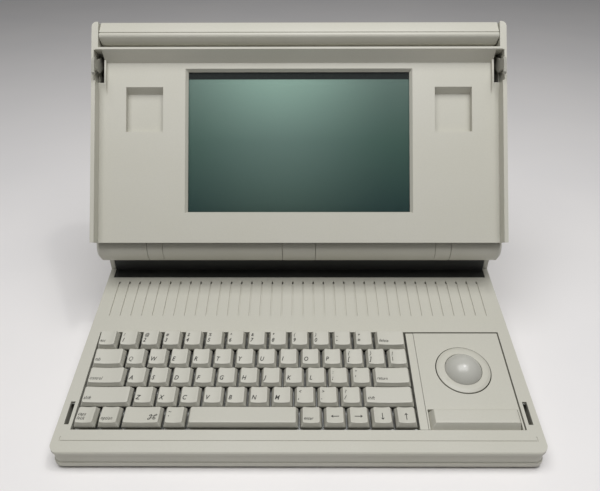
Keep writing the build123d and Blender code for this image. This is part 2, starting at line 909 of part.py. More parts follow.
def latch_bar():
    """Steel bar inside the lid's top that ties the two hooks together."""
    half = latch_slot_x - 4
    bar = block(
        -half, half, latch_bar_low, latch_bar_high,
        latch_bar_out - latch_bar_thickness, latch_bar_out,
    )
    return lid_frame * (bar - block(-60, 60, latch_bar_low - 1, latch_bar_low + 2.4, -5, 40))


def latch_hooks():
    """Two hooks that stand out of the lid's top corners and drop into the deck's slots."""
    out0 = latch_bar_out - latch_bar_thickness
    outline = [
        (latch_bar_low, out0),
        (latch_bar_high, out0),
        (latch_bar_high, split_out),
        (hook_high, rim_out - 4),
        (hook_high - 1, hook_out - 2),
        (hook_high - 4, hook_out),
        (hook_low + 1.5, hook_out),
        (hook_low, hook_out - 1.6),
        (hook_low, hook_out - hook_toe),
        (hook_low + 6, hook_out - hook_toe - 0.8),
        (hook_low + 6, face_out + 2),
        (hook_low + 12, split_out),
    ]
    x0 = hook_x - hook_thickness / 2
    hook = prism(outline, x0, x0 + hook_thickness)
    hook += block(latch_slot_x - 4, x0, latch_bar_low, latch_bar_high, out0, latch_bar_out)
    return group([lid_frame * h for h in mirrored(hook)])


# ---- Handle ----


def handle_section():
    """The whole handle bar, with all its long edges rounded."""
    bar = block(-handle_half, handle_half, handle_low, handle_top, handle_back, handle_front)
    return fillet(bar.edges().filter_by(Axis.X), handle_round)


def handle_cap():
    """Outer half of the handle, which faces forward when the lid is shut."""
    bar = handle_section()
    return lid_frame * (bar & block(-200, 200, handle_seam + 0.15, handle_top + 1, -50, 60))


def handle_grip():
    """Inner half of the handle, hollowed for the fingers' side, with tapered ends."""
    bar = handle_section() & block(-200, 200, handle_low - 1, handle_seam, -50, 60)
    for side in (-1, 1):
        wedge = [
            (handle_half - 5, handle_low - 1), (handle_half + 2, handle_low - 1),
            (handle_half + 2, handle_seam - 1),
        ]
        cut = extrude(Plane.XY.offset(-40) * make_face(Polyline(*wedge, close=True)), 100)
        bar -= cut if side > 0 else mirror(cut, about=Plane.YZ)
    for side in (-1, 1):
        x = side * arm_x
        bar -= block(
            x - arm_width / 2, x + arm_width / 2,
            handle_low - 1, handle_low + 6, arm_back, arm_back + arm_thickness,
        )
    return lid_frame * bar


def handle_arms():
    """Two flat steel arms that run down into the lid."""
    arm = block(
        arm_x - arm_width / 2, arm_x + arm_width / 2, arm_low, handle_low + 6,
        arm_back, arm_back + arm_thickness,
    )
    arm -= block(arm_x - 2, arm_x + 2, arm_low + 8, arm_low + 8 + handle_travel, arm_back - 1, 20)
    return group([lid_frame * a for a in mirrored(arm)])


def handle_guides():
    """Moulded channels in the lid's back that the arms slide in."""
    solids = []
    for up in (arm_low + handle_travel + 12, lid_shelf - 22):
        low_out = lid_back_out(up + 12) + lid_wall + 0.05
        guide = block(
            arm_x - arm_width / 2 - 3, arm_x + arm_width / 2 + 3, up, up + 12,
            low_out, arm_back + arm_thickness + 2,
        )
        guide -= block(
            arm_x - arm_width / 2 - 0.3, arm_x + arm_width / 2 + 0.3, up - 1, up + 13,
            arm_back - 0.3, arm_back + arm_thickness + 0.3,
        )
        solids += [lid_frame * g for g in mirrored(guide)]
    return group(solids)


# ---- Keyboard ----


def key_cap(units, dished=True):
    """One hollow cap standing on its stem, centred on its own cell."""
    half = (units * key_pitch - key_gap) / 2
    deep = (key_pitch - key_gap) / 2
    outer = taper(
        (-half, half, -deep, deep), key_skirt_h,
        (-half + key_side_draft, half - key_side_draft, -deep + key_front_draft, deep - key_back_draft),
        key_top_h,
    )
    reach = half - key_side_draft
    if dished:
        curve = (reach**2 + key_dish**2) / (2 * key_dish)
        dish = Pos(0, 0, key_top_h + curve - key_dish) * Rot(90, 0, 0) * Cylinder(curve, 3 * key_pitch)
        outer -= dish & block(-half, half, -20, 20, key_top_h - 2, key_top_h + 1)
    roof = key_top_h - key_dish - key_roof
    draft = (roof - key_skirt_h) / (key_top_h - key_skirt_h)
    low = (-half + key_wall, half - key_wall, -deep + key_wall, deep - key_wall)
    high = (
        low[0] + key_side_draft * draft, low[1] - key_side_draft * draft,
        low[2] + key_front_draft * draft, low[3] - key_back_draft * draft,
    )
    outer -= taper(low, key_skirt_h - 0.01, high, roof)
    stem = stem_size / 2
    return outer + block(-stem, stem, -stem, stem, stem_end_h, roof + 0.2)


def key_places():
    """For each row, each key's units and the middle of its cell on the deck."""
    rows = []
    for n, row in enumerate(key_rows):
        up = well_back - module_clearance - key_gap / 2 - (n + 0.5) * key_pitch
        x = -well_half + module_clearance + key_gap / 2
        places = []
        for units in row:
            places.append((units, x + units * key_pitch / 2, up))
            x += units * key_pitch
        rows.append(places)
    return rows


space_units = max(key_rows[-1])


def key_row(n, caps):
    """The caps of one row, without the space bar."""
    solids = []
    for units, x, up in key_places()[n]:
        if units != space_units:
            solids.append(deck_frame * (Pos(x, up, 0) * caps[units]))
    return group(solids)


def space_bar():
    """The long bar with its flat, round-edged top."""
    for units, x, up in key_places()[-1]:
        if units == space_units:
            bar = key_cap(units, dished=False)
            long_edges = bar.faces().sort_by(Axis.Z)[-1].edges().filter_by(Axis.X)
            return deck_frame * (Pos(x, up, 0) * fillet(long_edges, 1.4))


def key_switches():
    """A switch under each cap, with the hole that its stem drops into."""
    half = switch_size / 2
    hole = stem_size / 2 + stem_clearance
    switch = block(-half, half, -half, half, plate_top_h, switch_top_h)
    switch -= block(-hole, hole, -hole, hole, plate_top_h - 1, switch_top_h + 1)
    return group(
        deck_frame * (Pos(x, up, 0) * switch) for row in key_places() for units, x, up in row
    )


def keyboard_plate():
    """Steel plate that the switches stand on."""
    return deck_frame * block(
        -well_half + module_clearance, keyboard_right - module_clearance,
        well_front + module_clearance, well_back - module_clearance,
        plate_top_h - plate_thickness, plate_top_h,
    )


def keyboard_tray():
    """Moulded tray under the plate, open in the middle for the keyboard's board."""
    x0, x1 = -well_half + module_clearance, keyboard_right - module_clearance
    y0, y1 = well_front + module_clearance, well_back - module_clearance
    tray = block(x0, x1, y0, y1, -well_skirt, plate_top_h - plate_thickness)
    return deck_frame * (
        tray - block(x0 + 8, x1 - 8, y0 + 8, y1 - 8, -well_skirt + 1, plate_top_h)
    )


def keyboard_board():
    """The keyboard's circuit board, under the steel plate."""
    top = plate_top_h - plate_thickness
    return deck_frame * block(
        -well_half + 10, keyboard_right - 10, well_front + 10, well_back - 10,
        top - keyboard_pcb_thickness, top,
    )


def module_divider():
    """Strip between the keyboard and the trackball module, level with the deck."""
    x0, x1 = divider_left, divider_right - module_clearance
    bar = block(x0, x1, well_front + module_clearance, well_back - module_gap, -well_skirt, module_top_h)
    return deck_frame * (bar - block(x0 + 1.6, x1 - 1.6, well_front + 3, well_back - 3, -well_skirt - 1, -2))


# ---- Trackball module ----


def trackball_plate():
    """The module's top plate: seat for the ring, and the bay that the button fills."""
    plate = block(module_left, module_right, module_front, module_back, -well_skirt, module_top_h)
    plate -= block(
        module_left + module_skirt, module_right - module_skirt, button_back + module_skirt,
        module_back - module_skirt,
        -well_skirt - 1, module_top_h - module_plate,
    )
    plate -= block(
        module_left + module_cheek, module_right - module_cheek, module_front - 1, button_back,
        -well_skirt - 1, module_top_h + 1,
    )
    plate -= Pos(ball_x, ball_at, 0) * Cylinder(ring_outer_r + ring_groove, 30)
    return deck_frame * plate


def retaining_ring():
    """Twist ring round the ball, coned down to its opening, with a raised mark."""
    profile = [
        (ring_opening_r, ring_top_h - 0.5),
        (ring_opening_r + 0.6, ring_top_h),
        (ring_outer_r - 3.0, ring_top_h),
        (ring_outer_r, ring_top_h - 1.0),
        (ring_outer_r, ring_seat_h),
        (ring_opening_r + 2.4, ring_seat_h),
    ]
    ring = revolve(Plane.XZ * make_face(Polyline(*profile, close=True)), Axis.Z)
    mark = block(ring_outer_r - 5, ring_outer_r - 3.4, -0.7, 0.7, ring_top_h - 0.1, ring_top_h + 0.4)
    mark = Rot(0, 0, ring_mark_angle) * mark
    return deck_frame * (Pos(ball_x, ball_at, 0) * (ring + mark))


roller_reach = (ball_r + roller_gap + roller_r) * math.cos(math.radians(roller_angle))
roller_drop = (ball_r + roller_gap + roller_r) * math.sin(math.radians(roller_angle))


def trackball_cup():
    """Socket round the lower part of the ball, with windows for the rollers and posts for them."""
    inner = ball_r + ball_clearance
    outer = inner + cup_wall
    top = ring_seat_h - 0.1 - ball_h
    cup = Sphere(outer) & block(-outer, outer, -outer, outer, -outer, top)
    cup += Pos(0, 0, top - 1.2) * Cylinder(ring_outer_r, 2.4)
    cup -= Sphere(inner)
    cup -= Pos(0, 0, top) * Cylinder(math.sqrt(inner**2 - top**2) + 0.4, 8)
    half = roller_length / 2 - roller_post - 0.3
    window = block(-half, half, 8, roller_reach + 5, -roller_drop - 4, -roller_drop + 4)
    for turn in (180, 90):
        cup -= Rot(0, 0, turn) * window
        cup += Rot(0, 0, turn) * roller_posts(top - 1.4)
    cup -= Cylinder(3, 80)
    return deck_frame * (Pos(ball_x, ball_at, ball_h) * cup)


def roller_posts(top):
    """The two bored posts that one roller turns in, hanging from the cup's rim."""
    posts = Part()
    for x in (-roller_length / 2, roller_length / 2 - roller_post):
        posts += block(x, x + roller_post, roller_reach - 3.4, roller_reach + 3.4, -roller_drop - 3.4, top)
    return posts - rod(roller_r + bearing_clearance, -20, 20, roller_reach, -roller_drop)


def roller(turn):
    """A sensing roller with its slotted disc."""
    shaft = rod(roller_r, -roller_length / 2 - 0.6, encoder_at + 2)
    disc = rod(encoder_r, encoder_at, encoder_at + encoder_thickness)
    for n in range(8):
        disc -= Rot(45 * n, 0, 0) * block(encoder_at - 1, encoder_at + 2, -0.6, 0.6, 3.2, 4.6)
    whole = Pos(0, roller_reach, -roller_drop) * (shaft + disc)
    return deck_frame * (Pos(ball_x, ball_at, ball_h) * Rot(0, 0, turn) * whole)


def ball():
    """The ball itself."""
    return deck_frame * (Pos(ball_x, ball_at, ball_h) * Sphere(ball_r))


def module_base():
    """Bottom of the trackball module, which the cup stands on."""
    low = -well_skirt
    edge = module_skirt + 0.2
    base = block(
        module_left + edge, module_right - edge, button_back + 4, module_back - edge, low, low + 1.6
    )
    base -= Pos(ball_x, ball_at, low) * Cylinder(base_hole_r, 10)
    return deck_frame * base


def track_button():
    """The wide button in front of the ball, with its sloping front."""
    side = module_cheek + module_clearance
    x0, x1 = module_left + side, module_right - side
    y0, y1 = module_front + 0.2, button_back - module_clearance
    shell = taper(
        (x0, x1, y0, y1), -5,
        (x0 + button_side_draft, x1 - button_side_draft, y0 + button_front_draft, y1 - 0.8), button_top_h,
    )
    shell -= taper(
        (x0 + 1.6, x1 - 1.6, y0 + 1.6, y1 - 1.6), -5.01,
        (x0 + button_side_draft + 1, x1 - button_side_draft - 1, y0 + button_front_draft + 1, y1 - 2.2),
        button_top_h - 1.8,
    )
    mid = (x0 + x1) / 2
    return deck_frame * (shell + block(mid - 3, mid + 3, y0 + 7, y0 + 12, -6.4, button_top_h - 1.6))


def button_switch():
    """Small switch that the button presses."""
    mid = (module_left + module_right) / 2
    y0 = module_front + 0.2
    low = -well_skirt
    switch = block(mid - 7, mid + 7, y0 + 5, y0 + 13, low, -8)
    shelf = block(
        module_left + module_skirt, module_right - module_skirt,
        y0 + 1, button_back - 1, low, low + 1.6,
    )
    return deck_frame * (switch + shelf)


# ---- Inside ----


def inner_frame():
    """Folded steel shelf over the logic board that carries the battery and drives."""
    x = half_width - lip_overhang - wall - 2
    y0, y1 = trough_wall_y + 6, back_y - wall - 4
    shelf = block(-x, x, y0, y1, frame_z, frame_z + frame_thickness)
    for side in (-1, 1):
        x0, x1 = sorted((side * x, side * (x - frame_thickness)))
        shelf += block(x0, x1, y0 + 14, y1 - 14, foot_height + wall, frame_z)
    for x0 in (-150, -90, 60, 120):
        for y in (40, 90, 140):
            shelf -= block(x0, x0 + 30, y, y + 12, frame_z - 1, frame_z + 3)
    return shelf


def logic_board():
    """The main circuit board."""
    board = block(-160, 160, trough_wall_y + 14, back_y - 24, board_z, board_z + board_thickness)
    for x in (-140, 0, 140):
        for y in (40, 140):
            board += Pos(x, y, (board_z + foot_height + wall) / 2) * Cylinder(3, board_z - foot_height - wall)
    return board


def board_chips():
    """Chips on the main board."""
    solids = []
    top = board_z + board_thickness
    for x in range(-130, 131, 52):
        for y in range(44, 141, 32):
            solids.append(block(x - 11, x + 11, y - 7, y + 7, top, top + 3))
    return group(solids)


shelf_top = frame_z + frame_thickness


def battery():
    """Sealed lead-acid pack of three cells side by side."""
    pack = block(-182, -74, 42, 160, shelf_top, shelf_top + 46)
    pack = fillet(pack.edges().filter_by(Axis.Z), 4)
    for x in (-147, -111):
        pack -= block(x - 1, x + 1, 40, 162, shelf_top + 43, shelf_top + 48)
    return pack


def hard_drive():
    """Three and a half inch hard drive with its raised cover."""
    drive = block(-66, 36, 26.8, 172.8, shelf_top, shelf_top + 30)
    cover = fillet(block(-60, 30, 34, 150, shelf_top + 30, shelf_top + 38).edges().filter_by(Axis.Z), 10)
    return drive + cover


def floppy_drive():
    """Disk drive, open to the slot in its front: chassis, cover, two rails and a stop at the back."""
    z3 = shelf_top + drive_height
    x1 = side_half(z3) - running_gap
    y1, y2 = disk_slot_y - disk_slot_width / 2, disk_slot_y + disk_slot_width / 2
    y0, y3 = y1 - drive_rail, y2 + drive_rail
    z1, z2 = disk_slot_z - disk_slot_height / 2, disk_slot_z + disk_slot_height / 2
    return group([
        block(drive_back_x, x1, y0, y3, shelf_top, z1),
        block(drive_back_x, x1, y0, y3, z2, z3),
        block(drive_back_x, x1, y0, y1, z1, z2),
        block(drive_back_x, x1, y2, y3, z1, z2),
        block(drive_back_x, x1 - disk_reach, y1, y2, z1, z2),
    ])


def speaker():
    """Small loudspeaker that hangs under the rear cover's slots, its cone facing up."""
    top = case_height - wall
    body = Pos(0, speaker_y, top - 6) * Cylinder(speaker_r, 12)
    return body - Pos(0, speaker_y, top - 4) * Cone(8, speaker_r - 3, 8)


def strikers():
    """Steel strikers under the deck that the hooks catch."""
    x0 = latch_slot_x - striker_width / 2
    striker = block(x0, x0 + striker_width, latch_slot_to - 0.5, latch_slot_to + 6, -wall - 1.2, -wall)
    return group([deck_frame * s for s in mirrored(striker)])


caps = {units: key_cap(units) for units in (1, 1.5, 1.75, 2.25)}

nodes = {
    "lower_case": lower_case(),
    "upper_case": upper_case(),
    "rear_cover": rear_cover(),
    "hinge_cradle": hinge_cradle(),
    "port_panel": port_panel(),
    "port_shells": port_shells(),
    "port_cores": port_cores(),
    "round_sockets": round_sockets(),
    "power_inlet": power_inlet(),
    "rubber_feet": feet(),
    "case_screws": case_screws(),
    "base_knuckles": base_knuckles(),
    "hinge_brackets": hinge_brackets(),
    "hinge_pins": hinge_pins(),
    "lid_knuckles": lid_knuckles(),
    "barrel_caps": barrel_caps(),
    "lid_back": lid_back(),
    "lid_bezel": lid_bezel(),
    "display_window": display_window(),
    "display_panel": display_panel(),
    "display_frame": display_frame(),
    "driver_board": driver_board(),
    "lid_screws": lid_screws(),
    "latch_bar": latch_bar(),
    "latch_hooks": latch_hooks(),
    "handle_cap": handle_cap(),
    "handle_grip": handle_grip(),
    "handle_arms": handle_arms(),
    "handle_guides": handle_guides(),
    "key_row_1": key_row(0, caps),
    "key_row_2": key_row(1, caps),
    "key_row_3": key_row(2, caps),
    "key_row_4": key_row(3, caps),
    "key_row_5": key_row(4, caps),
    "space_bar": space_bar(),
    "key_switches": key_switches(),
    "keyboard_plate": keyboard_plate(),
    "keyboard_tray": keyboard_tray(),
    "keyboard_board": keyboard_board(),
    "module_divider": module_divider(),
    "trackball_plate": trackball_plate(),
    "retaining_ring": retaining_ring(),
    "trackball_cup": trackball_cup(),
    "roller_across": roller(180),
    "roller_along": roller(90),
    "track_ball": ball(),
    "module_base": module_base(),
    "track_button": track_button(),
    "button_switch": button_switch(),
    "inner_frame": inner_frame(),
    "logic_board": logic_board(),
    "board_chips": board_chips(),
    "battery_pack": battery(),
    "hard_drive": hard_drive(),
    "floppy_drive": floppy_drive(),
    "drive_front": drive_front(),
    "speaker": speaker(),
    "latch_strikers": strikers(),
}

os.makedirs("parts", exist_ok=True)
for name, solid in nodes.items():
    export_step(solid, f"parts/{name}.step")
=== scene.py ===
import math

import bpy
import numpy as np
from mathutils import Matrix, Vector


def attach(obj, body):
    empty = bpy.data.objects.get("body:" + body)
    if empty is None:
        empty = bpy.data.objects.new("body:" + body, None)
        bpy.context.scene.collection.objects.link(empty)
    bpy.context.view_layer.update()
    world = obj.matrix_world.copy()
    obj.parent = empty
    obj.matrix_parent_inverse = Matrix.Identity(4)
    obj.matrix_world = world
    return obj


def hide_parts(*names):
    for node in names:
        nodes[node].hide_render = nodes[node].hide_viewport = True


# Vintage luggable computer, lid open, on a pale table. The dictionaries are in millimetres and
# degrees, apart from those of the floor and the lamps, whose lengths are in metres.

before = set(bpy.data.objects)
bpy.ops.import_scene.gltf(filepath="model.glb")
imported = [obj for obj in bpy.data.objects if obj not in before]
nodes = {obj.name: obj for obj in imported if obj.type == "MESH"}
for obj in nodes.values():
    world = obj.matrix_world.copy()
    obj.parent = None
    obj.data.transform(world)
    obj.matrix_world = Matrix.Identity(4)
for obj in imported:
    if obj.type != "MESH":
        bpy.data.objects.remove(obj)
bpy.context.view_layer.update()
mm = 0.001  # Blender works in metres
print("frame loaded:", len(nodes), "nodes")


# ---- view ----

view = {
    "place": (3.64, -469.06, 407.02),
    "pitch": 34.045,  # down from level
    "yaw": -0.322,
    "roll": -0.191,
    "lens": 35.43,
    "sensor": 36.0,
    "nearest": 10.0,
}


def makeCamera():
    # forward from yaw and pitch; right is level, up is right x forward, then both roll about forward
    pitch, yaw, roll = (math.radians(view[k]) for k in ("pitch", "yaw", "roll"))
    forward = Vector((
        math.sin(yaw) * math.cos(pitch), math.cos(yaw) * math.cos(pitch), -math.sin(pitch)))
    level = Vector((math.cos(yaw), -math.sin(yaw), 0.0))
    upright = level.cross(forward)
    right = math.cos(roll) * level + math.sin(roll) * upright
    up = math.cos(roll) * upright - math.sin(roll) * level
    lens = bpy.data.cameras.new("camera")
    lens.sensor_fit = "HORIZONTAL"
    lens.sensor_width = view["sensor"]
    lens.lens = view["lens"]
    lens.clip_start = view["nearest"] * mm
    camera = bpy.data.objects.new("camera", lens)
    turn = Matrix((right, up, -forward)).transposed()
    camera.matrix_world = Matrix.Translation(Vector(view["place"]) * mm) @ turn.to_4x4()
    bpy.context.scene.collection.objects.link(camera)
    bpy.context.scene.camera = camera


makeCamera()
print("camera set")


# ---- the two sloping frames, of the deck and of the lid ----

deck = {"front": -182.5, "height": 20.8, "slope": 9.5}  # y and z of its front edge, and its slope
lid = {"y": 4.357, "z": 89.4, "lean": 35.6}  # where its frame starts, and its lean from upright


def onDeck(points):
    # (x, up the slope, out of the deck) to case x, y, z: a turn about X by the slope, then a shift
    c, s = math.cos(math.radians(deck["slope"])), math.sin(math.radians(deck["slope"]))
    x, along, out = np.moveaxis(np.asarray(points, float), -1, 0)
    y = deck["front"] + along * c - out * s
    z = deck["height"] + along * s + out * c
    return np.stack([x, y, z], -1)


def onLid(points):
    # (x, up the lid, out of the screen) to case x, y, z: the same with the lean from upright
    c, s = math.cos(math.radians(lid["lean"])), math.sin(math.radians(lid["lean"]))
    x, up, out = np.moveaxis(np.asarray(points, float), -1, 0)
    y = lid["y"] + up * s - out * c
    z = lid["z"] + up * c + out * s
    return np.stack([x, y, z], -1)


# ---- small tools for meshes ----

def makePiece(name, points, faces, body, slot, finish=None, smooth=True):
    # points in mm; the object stays at the origin, with its place in its mesh
    mesh = bpy.data.meshes.new(name)
    mesh.from_pydata((np.asarray(points, float).reshape(-1, 3) * mm).tolist(), [], faces)
    mesh.polygons.foreach_set("use_smooth", [smooth] * len(mesh.polygons))
    mesh.materials.append(finish or finishes[slot])
    mesh.update()
    piece = bpy.data.objects.new(name, mesh)
    bpy.context.scene.collection.objects.link(piece)
    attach(piece, body)
    return piece


def ringFaces(rings, count):
    # quads between each ring and the next, wrapped round; they face outwards where the rings rise and
    # each runs anticlockwise seen from above
    here = np.arange(rings - 1)[:, None] * count + np.arange(count)[None, :]
    there = np.arange(rings - 1)[:, None] * count + (np.arange(count)[None, :] + 1) % count
    return np.stack([here, there, there + count, here + count], -1).reshape(-1, 4).tolist()


def closedRings(rings):
    # a stack of rings (levels, count, 3) as points and faces, each end closed by a fan to its mean point
    levels, count = rings.shape[:2]
    points = np.concatenate([rings.reshape(-1, 3), rings[:1].mean(1), rings[-1:].mean(1)])
    first, last = levels * count, levels * count + 1
    around, onward = np.arange(count), (np.arange(count) + 1) % count
    low = np.stack([np.full(count, first), onward, around], -1).tolist()
    top = (levels - 1) * count
    high = np.stack([np.full(count, last), top + around, top + onward], -1).tolist()
    return points, ringFaces(levels, count) + low + high


def joined(parts):
    # several (points, faces) as one
    points, faces, start = [], [], 0
    for partPoints, partFaces in parts:
        points.append(partPoints)
        faces.extend([start + i for i in face] for face in partFaces)
        start += len(partPoints)
    return np.concatenate(points), faces


def roundedPattern(sideSteps, cornerSteps):
    # a rounded rectangle as x = a (halfX - r) + r cos(t), y = b (halfY - r) + r sin(t):
    # along a side one of a, b runs from -1 to 1 at a fixed t, and round a corner t turns a quarter
    a, b, t = [], [], []
    quarter = math.pi / 2
    run = np.linspace(-1, 1, sideSteps + 1)
    arc = np.linspace(0, quarter, cornerSteps + 1)[1:-1]
    for side in range(4):
        c, s = round(math.cos(side * quarter)), round(math.sin(side * quarter))
        a.extend(c - s * run)
        b.extend(s + c * run)
        t.extend(np.full(len(run), side * quarter))
        a.extend(np.full(len(arc), c - s))
        b.extend(np.full(len(arc), s + c))
        t.extend(side * quarter + arc)
    return np.array(a), np.array(b), np.array(t)


def roundedRings(pattern, halfX, halfY, corner, middle=0.0):
    # the pattern above at many sizes at once, one ring for each row of the sizes
    a, b, t = (row[None, :] for row in pattern)
    halfX, halfY, corner, middle = (
        np.atleast_1d(value)[:, None] for value in (halfX, halfY, corner, middle))
    x = a * (halfX - corner) + corner * np.cos(t)
    y = middle + b * (halfY - corner) + corner * np.sin(t)
    return x, y


def levelRings(x, y, heights):
    # rings that each lie level, one height for each
    return np.stack([x, y, np.array(heights)[:, None] + np.zeros_like(x)], -1)


def roundedStem(halfX, halfY, corner, low, high, middleX=0.0, middleY=0.0):
    # an upright post with a rounded rectangle as its section, closed at both ends
    x, y = roundedRings(roundedPattern(1, 1), np.full(2, halfX), np.full(2, halfY), corner, middleY)
    return closedRings(levelRings(x + middleX, y, [low, high]))


# ---- finishes ----

mixFirst, mixSecond, mixOut = 6, 7, 2  # the colour sockets of a Mix node, whose names aren't unique


def linear(hexColour):
    # sRGB to linear light: under 0.04045 divided by 12.92, over it the 2.4 power curve
    parts = np.array([int(hexColour[i:i + 2], 16) for i in (1, 3, 5)]) / 255
    low, high = parts / 12.92, ((parts + 0.055) / 1.055) ** 2.4
    return (*np.where(parts <= 0.04045, low, high).tolist(), 1.0)


def addNode(finish, kind, settings=None, sockets=None):
    # one node: settings are its own choices; a socket takes a value, or a (node, output) pair as a link
    tree = finish.node_tree
    node = tree.nodes.new(kind)
    for key, value in (settings or {}).items():
        setattr(node, key, value)
    for key, value in (sockets or {}).items():
        if isinstance(value, tuple) and isinstance(value[0], bpy.types.Node):
            tree.links.new(value[0].outputs[value[1]], node.inputs[key])
        else:
            node.inputs[key].default_value = value
    return node


def newFinish(name):
    # an empty material, and the object's own coordinates as the place of its patterns
    finish = bpy.data.materials.new(name)
    finish.use_nodes = True
    finish.node_tree.nodes.clear()
    return finish, (addNode(finish, "ShaderNodeTexCoord"), "Object")


def noise(finish, place, lumpMm, detail=2.0):
    # cloudy noise with lumps of about this size
    return addNode(finish, "ShaderNodeTexNoise", sockets={
        "Vector": place, "Scale": 1 / (lumpMm * mm), "Detail": detail})


def mixed(finish, factor, first, second):
    # the first colour where the factor is 0, the second where it is 1
    return addNode(finish, "ShaderNodeMix", {"data_type": "RGBA"}, {
        "Factor": factor, mixFirst: first, mixSecond: second})


def surfaceOut(finish, sockets):
    shader = addNode(finish, "ShaderNodeBsdfPrincipled", sockets=sockets)
    addNode(finish, "ShaderNodeOutputMaterial", sockets={"Surface": (shader, "BSDF")})
    return finish


moulded = {"driftDetail": 3.0, "noiseRange": (0.3, 0.7), "roughSwing": 0.06, "grainDeep": 0.05,
           "ior": 1.53}


def mouldedPlastic(name, recipe):
    # Injection moulded plastic from a spark-eroded tool: a soft sheen broken by fine grain, and a slow
    # drift of the colour where the plastic has aged. The tool's grain is near 0.2 mm, which the
    # render can't show, so grainMm is coarser.
    finish, place = newFinish(name)
    drift = noise(finish, place, recipe["driftMm"], moulded["driftDetail"])
    grain = noise(finish, place, recipe["grainMm"])
    tint = mixed(finish, (drift, "Fac"), linear(recipe["colour"]), linear(recipe["aged"]))
    fleck = addNode(finish, "ShaderNodeMapRange", sockets={
        "Value": (grain, "Fac"),
        "From Min": moulded["noiseRange"][0], "From Max": moulded["noiseRange"][1],
        "To Min": 1 - recipe["fleck"], "To Max": 1 + recipe["fleck"]})
    colour = addNode(finish, "ShaderNodeVectorMath", {"operation": "SCALE"}, {
        0: (tint, mixOut), "Scale": (fleck, "Result")})
    rough = addNode(finish, "ShaderNodeMapRange", sockets={
        "Value": (drift, "Fac"), "To Min": recipe["rough"] - moulded["roughSwing"],
        "To Max": recipe["rough"] + moulded["roughSwing"]})
    bump = addNode(finish, "ShaderNodeBump", sockets={
        "Strength": recipe["bump"], "Distance": moulded["grainDeep"] * mm, "Height": (grain, "Fac")})
    return surfaceOut(finish, {
        "Base Color": (colour, "Vector"), "Roughness": (rough, "Result"),
        "IOR": moulded["ior"], "Normal": (bump, "Normal")})


metal = {"stretch": (0.05, 1.0, 1.0), "roughSwing": 0.08}


def greyMetal(name, recipe):
    # Zinc plated sheet and turned bar, and the drives' cast cases: a grey metal with a faint grain
    # drawn out along X, clouded by the plating or the casting.
    finish, place = newFinish(name)
    stretch = addNode(finish, "ShaderNodeMapping", sockets={"Vector": place, "Scale": metal["stretch"]})
    grain = noise(finish, (stretch, "Vector"), recipe["grainMm"])
    cloud = noise(finish, place, recipe["cloudMm"])
    tint = mixed(finish, (cloud, "Fac"), linear(recipe["colour"]), linear(recipe["dull"]))
    rough = addNode(finish, "ShaderNodeMapRange", sockets={
        "Value": (grain, "Fac"), "To Min": recipe["rough"] - metal["roughSwing"],
        "To Max": recipe["rough"] + metal["roughSwing"]})
    return surfaceOut(finish, {
        "Base Color": (tint, mixOut), "Metallic": 1.0, "Roughness": (rough, "Result")})


def solderMask(name, recipe):
    # Glass fibre board under green solder mask: glossy, with copper lines faintly lighter below it.
    finish, place = newFinish(name)
    lines = addNode(finish, "ShaderNodeTexVoronoi", {"distance": "MANHATTAN", "feature": "F1"}, {
        "Vector": place, "Scale": 1 / (recipe["cellMm"] * mm)})
    edge = addNode(finish, "ShaderNodeMath", {"operation": "PINGPONG"}, {
        0: (lines, "Distance"), 1: recipe["spacing"]})
    copper = addNode(finish, "ShaderNodeMapRange", sockets={
        "Value": (edge, "Value"), "From Min": recipe["edge"][0], "From Max": recipe["edge"][1]})
    tint = mixed(finish, (copper, "Result"), linear(recipe["mask"]), linear(recipe["copper"]))
    return surfaceOut(finish, {
        "Base Color": (tint, mixOut), "Roughness": recipe["rough"], "IOR": recipe["ior"]})


def liquidCrystal(name, recipe):
    # Unlit liquid crystal cell: its own grey-green tint under a painted reflection of the room, palest
    # high in the middle and falling to blue-green at the sides and foot, with a painted shadow band
    # along the top edge.
    finish, place = newFinish(name)
    apart = addNode(finish, "ShaderNodeSeparateXYZ", sockets={"Vector": place})
    lean = math.radians(lid["lean"])
    rise = addNode(finish, "ShaderNodeVectorMath", {"operation": "DOT_PRODUCT"}, {
        0: place, 1: (0.0, math.sin(lean), math.cos(lean))})
    foot = (lid["y"] * math.sin(lean) + lid["z"] * math.cos(lean)) * mm
    height = addNode(finish, "ShaderNodeMapRange", sockets={
        "Value": (rise, "Value"), "From Min": foot + recipe["low"] * mm,
        "From Max": foot + recipe["high"] * mm})
    shift = addNode(finish, "ShaderNodeMath", {"operation": "SUBTRACT"}, {
        0: (apart, "X"), 1: recipe["brightX"] * mm})
    away = addNode(finish, "ShaderNodeMath", {"operation": "ABSOLUTE"}, {0: (shift, "Value")})
    side = addNode(finish, "ShaderNodeMapRange", {"interpolation_type": "SMOOTHSTEP"}, {
        "Value": (away, "Value"), "From Min": 0.0, "From Max": recipe["reach"] * mm})
    ramps = []
    for stops in (recipe["middle"], recipe["sides"]):
        ramp = addNode(finish, "ShaderNodeValToRGB", sockets={"Fac": (height, "Result")})
        while len(ramp.color_ramp.elements) < len(stops):
            ramp.color_ramp.elements.new(0.5)  # anywhere, because the places are set next
        for element, (position, colour) in zip(ramp.color_ramp.elements, stops):
            element.position = position
            element.color = linear(colour)
        ramps.append(ramp)
    # painted reflection: the middle ramp, palest near brightX, blends into the sides ramp further out
    tintAndPaintedReflection = mixed(finish, (side, "Result"), (ramps[0], "Color"), (ramps[1], "Color"))
    # painted shadow: above this height a dark band stands in for the shade cast by the bezel's top edge
    # on the cell
    paintedShadowBand = addNode(finish, "ShaderNodeMath", {"operation": "GREATER_THAN"}, {
        0: (rise, "Value"), 1: foot + recipe["paintedShadowBand"] * mm})
    colour = mixed(finish, (paintedShadowBand, "Value"), (tintAndPaintedReflection, mixOut), linear(recipe["paintedShadowBandColour"]))
    return surfaceOut(finish, {
        "Base Color": (colour, mixOut), "Roughness": recipe["rough"], "IOR": recipe["ior"],
        "Specular IOR Level": recipe["specular"]})


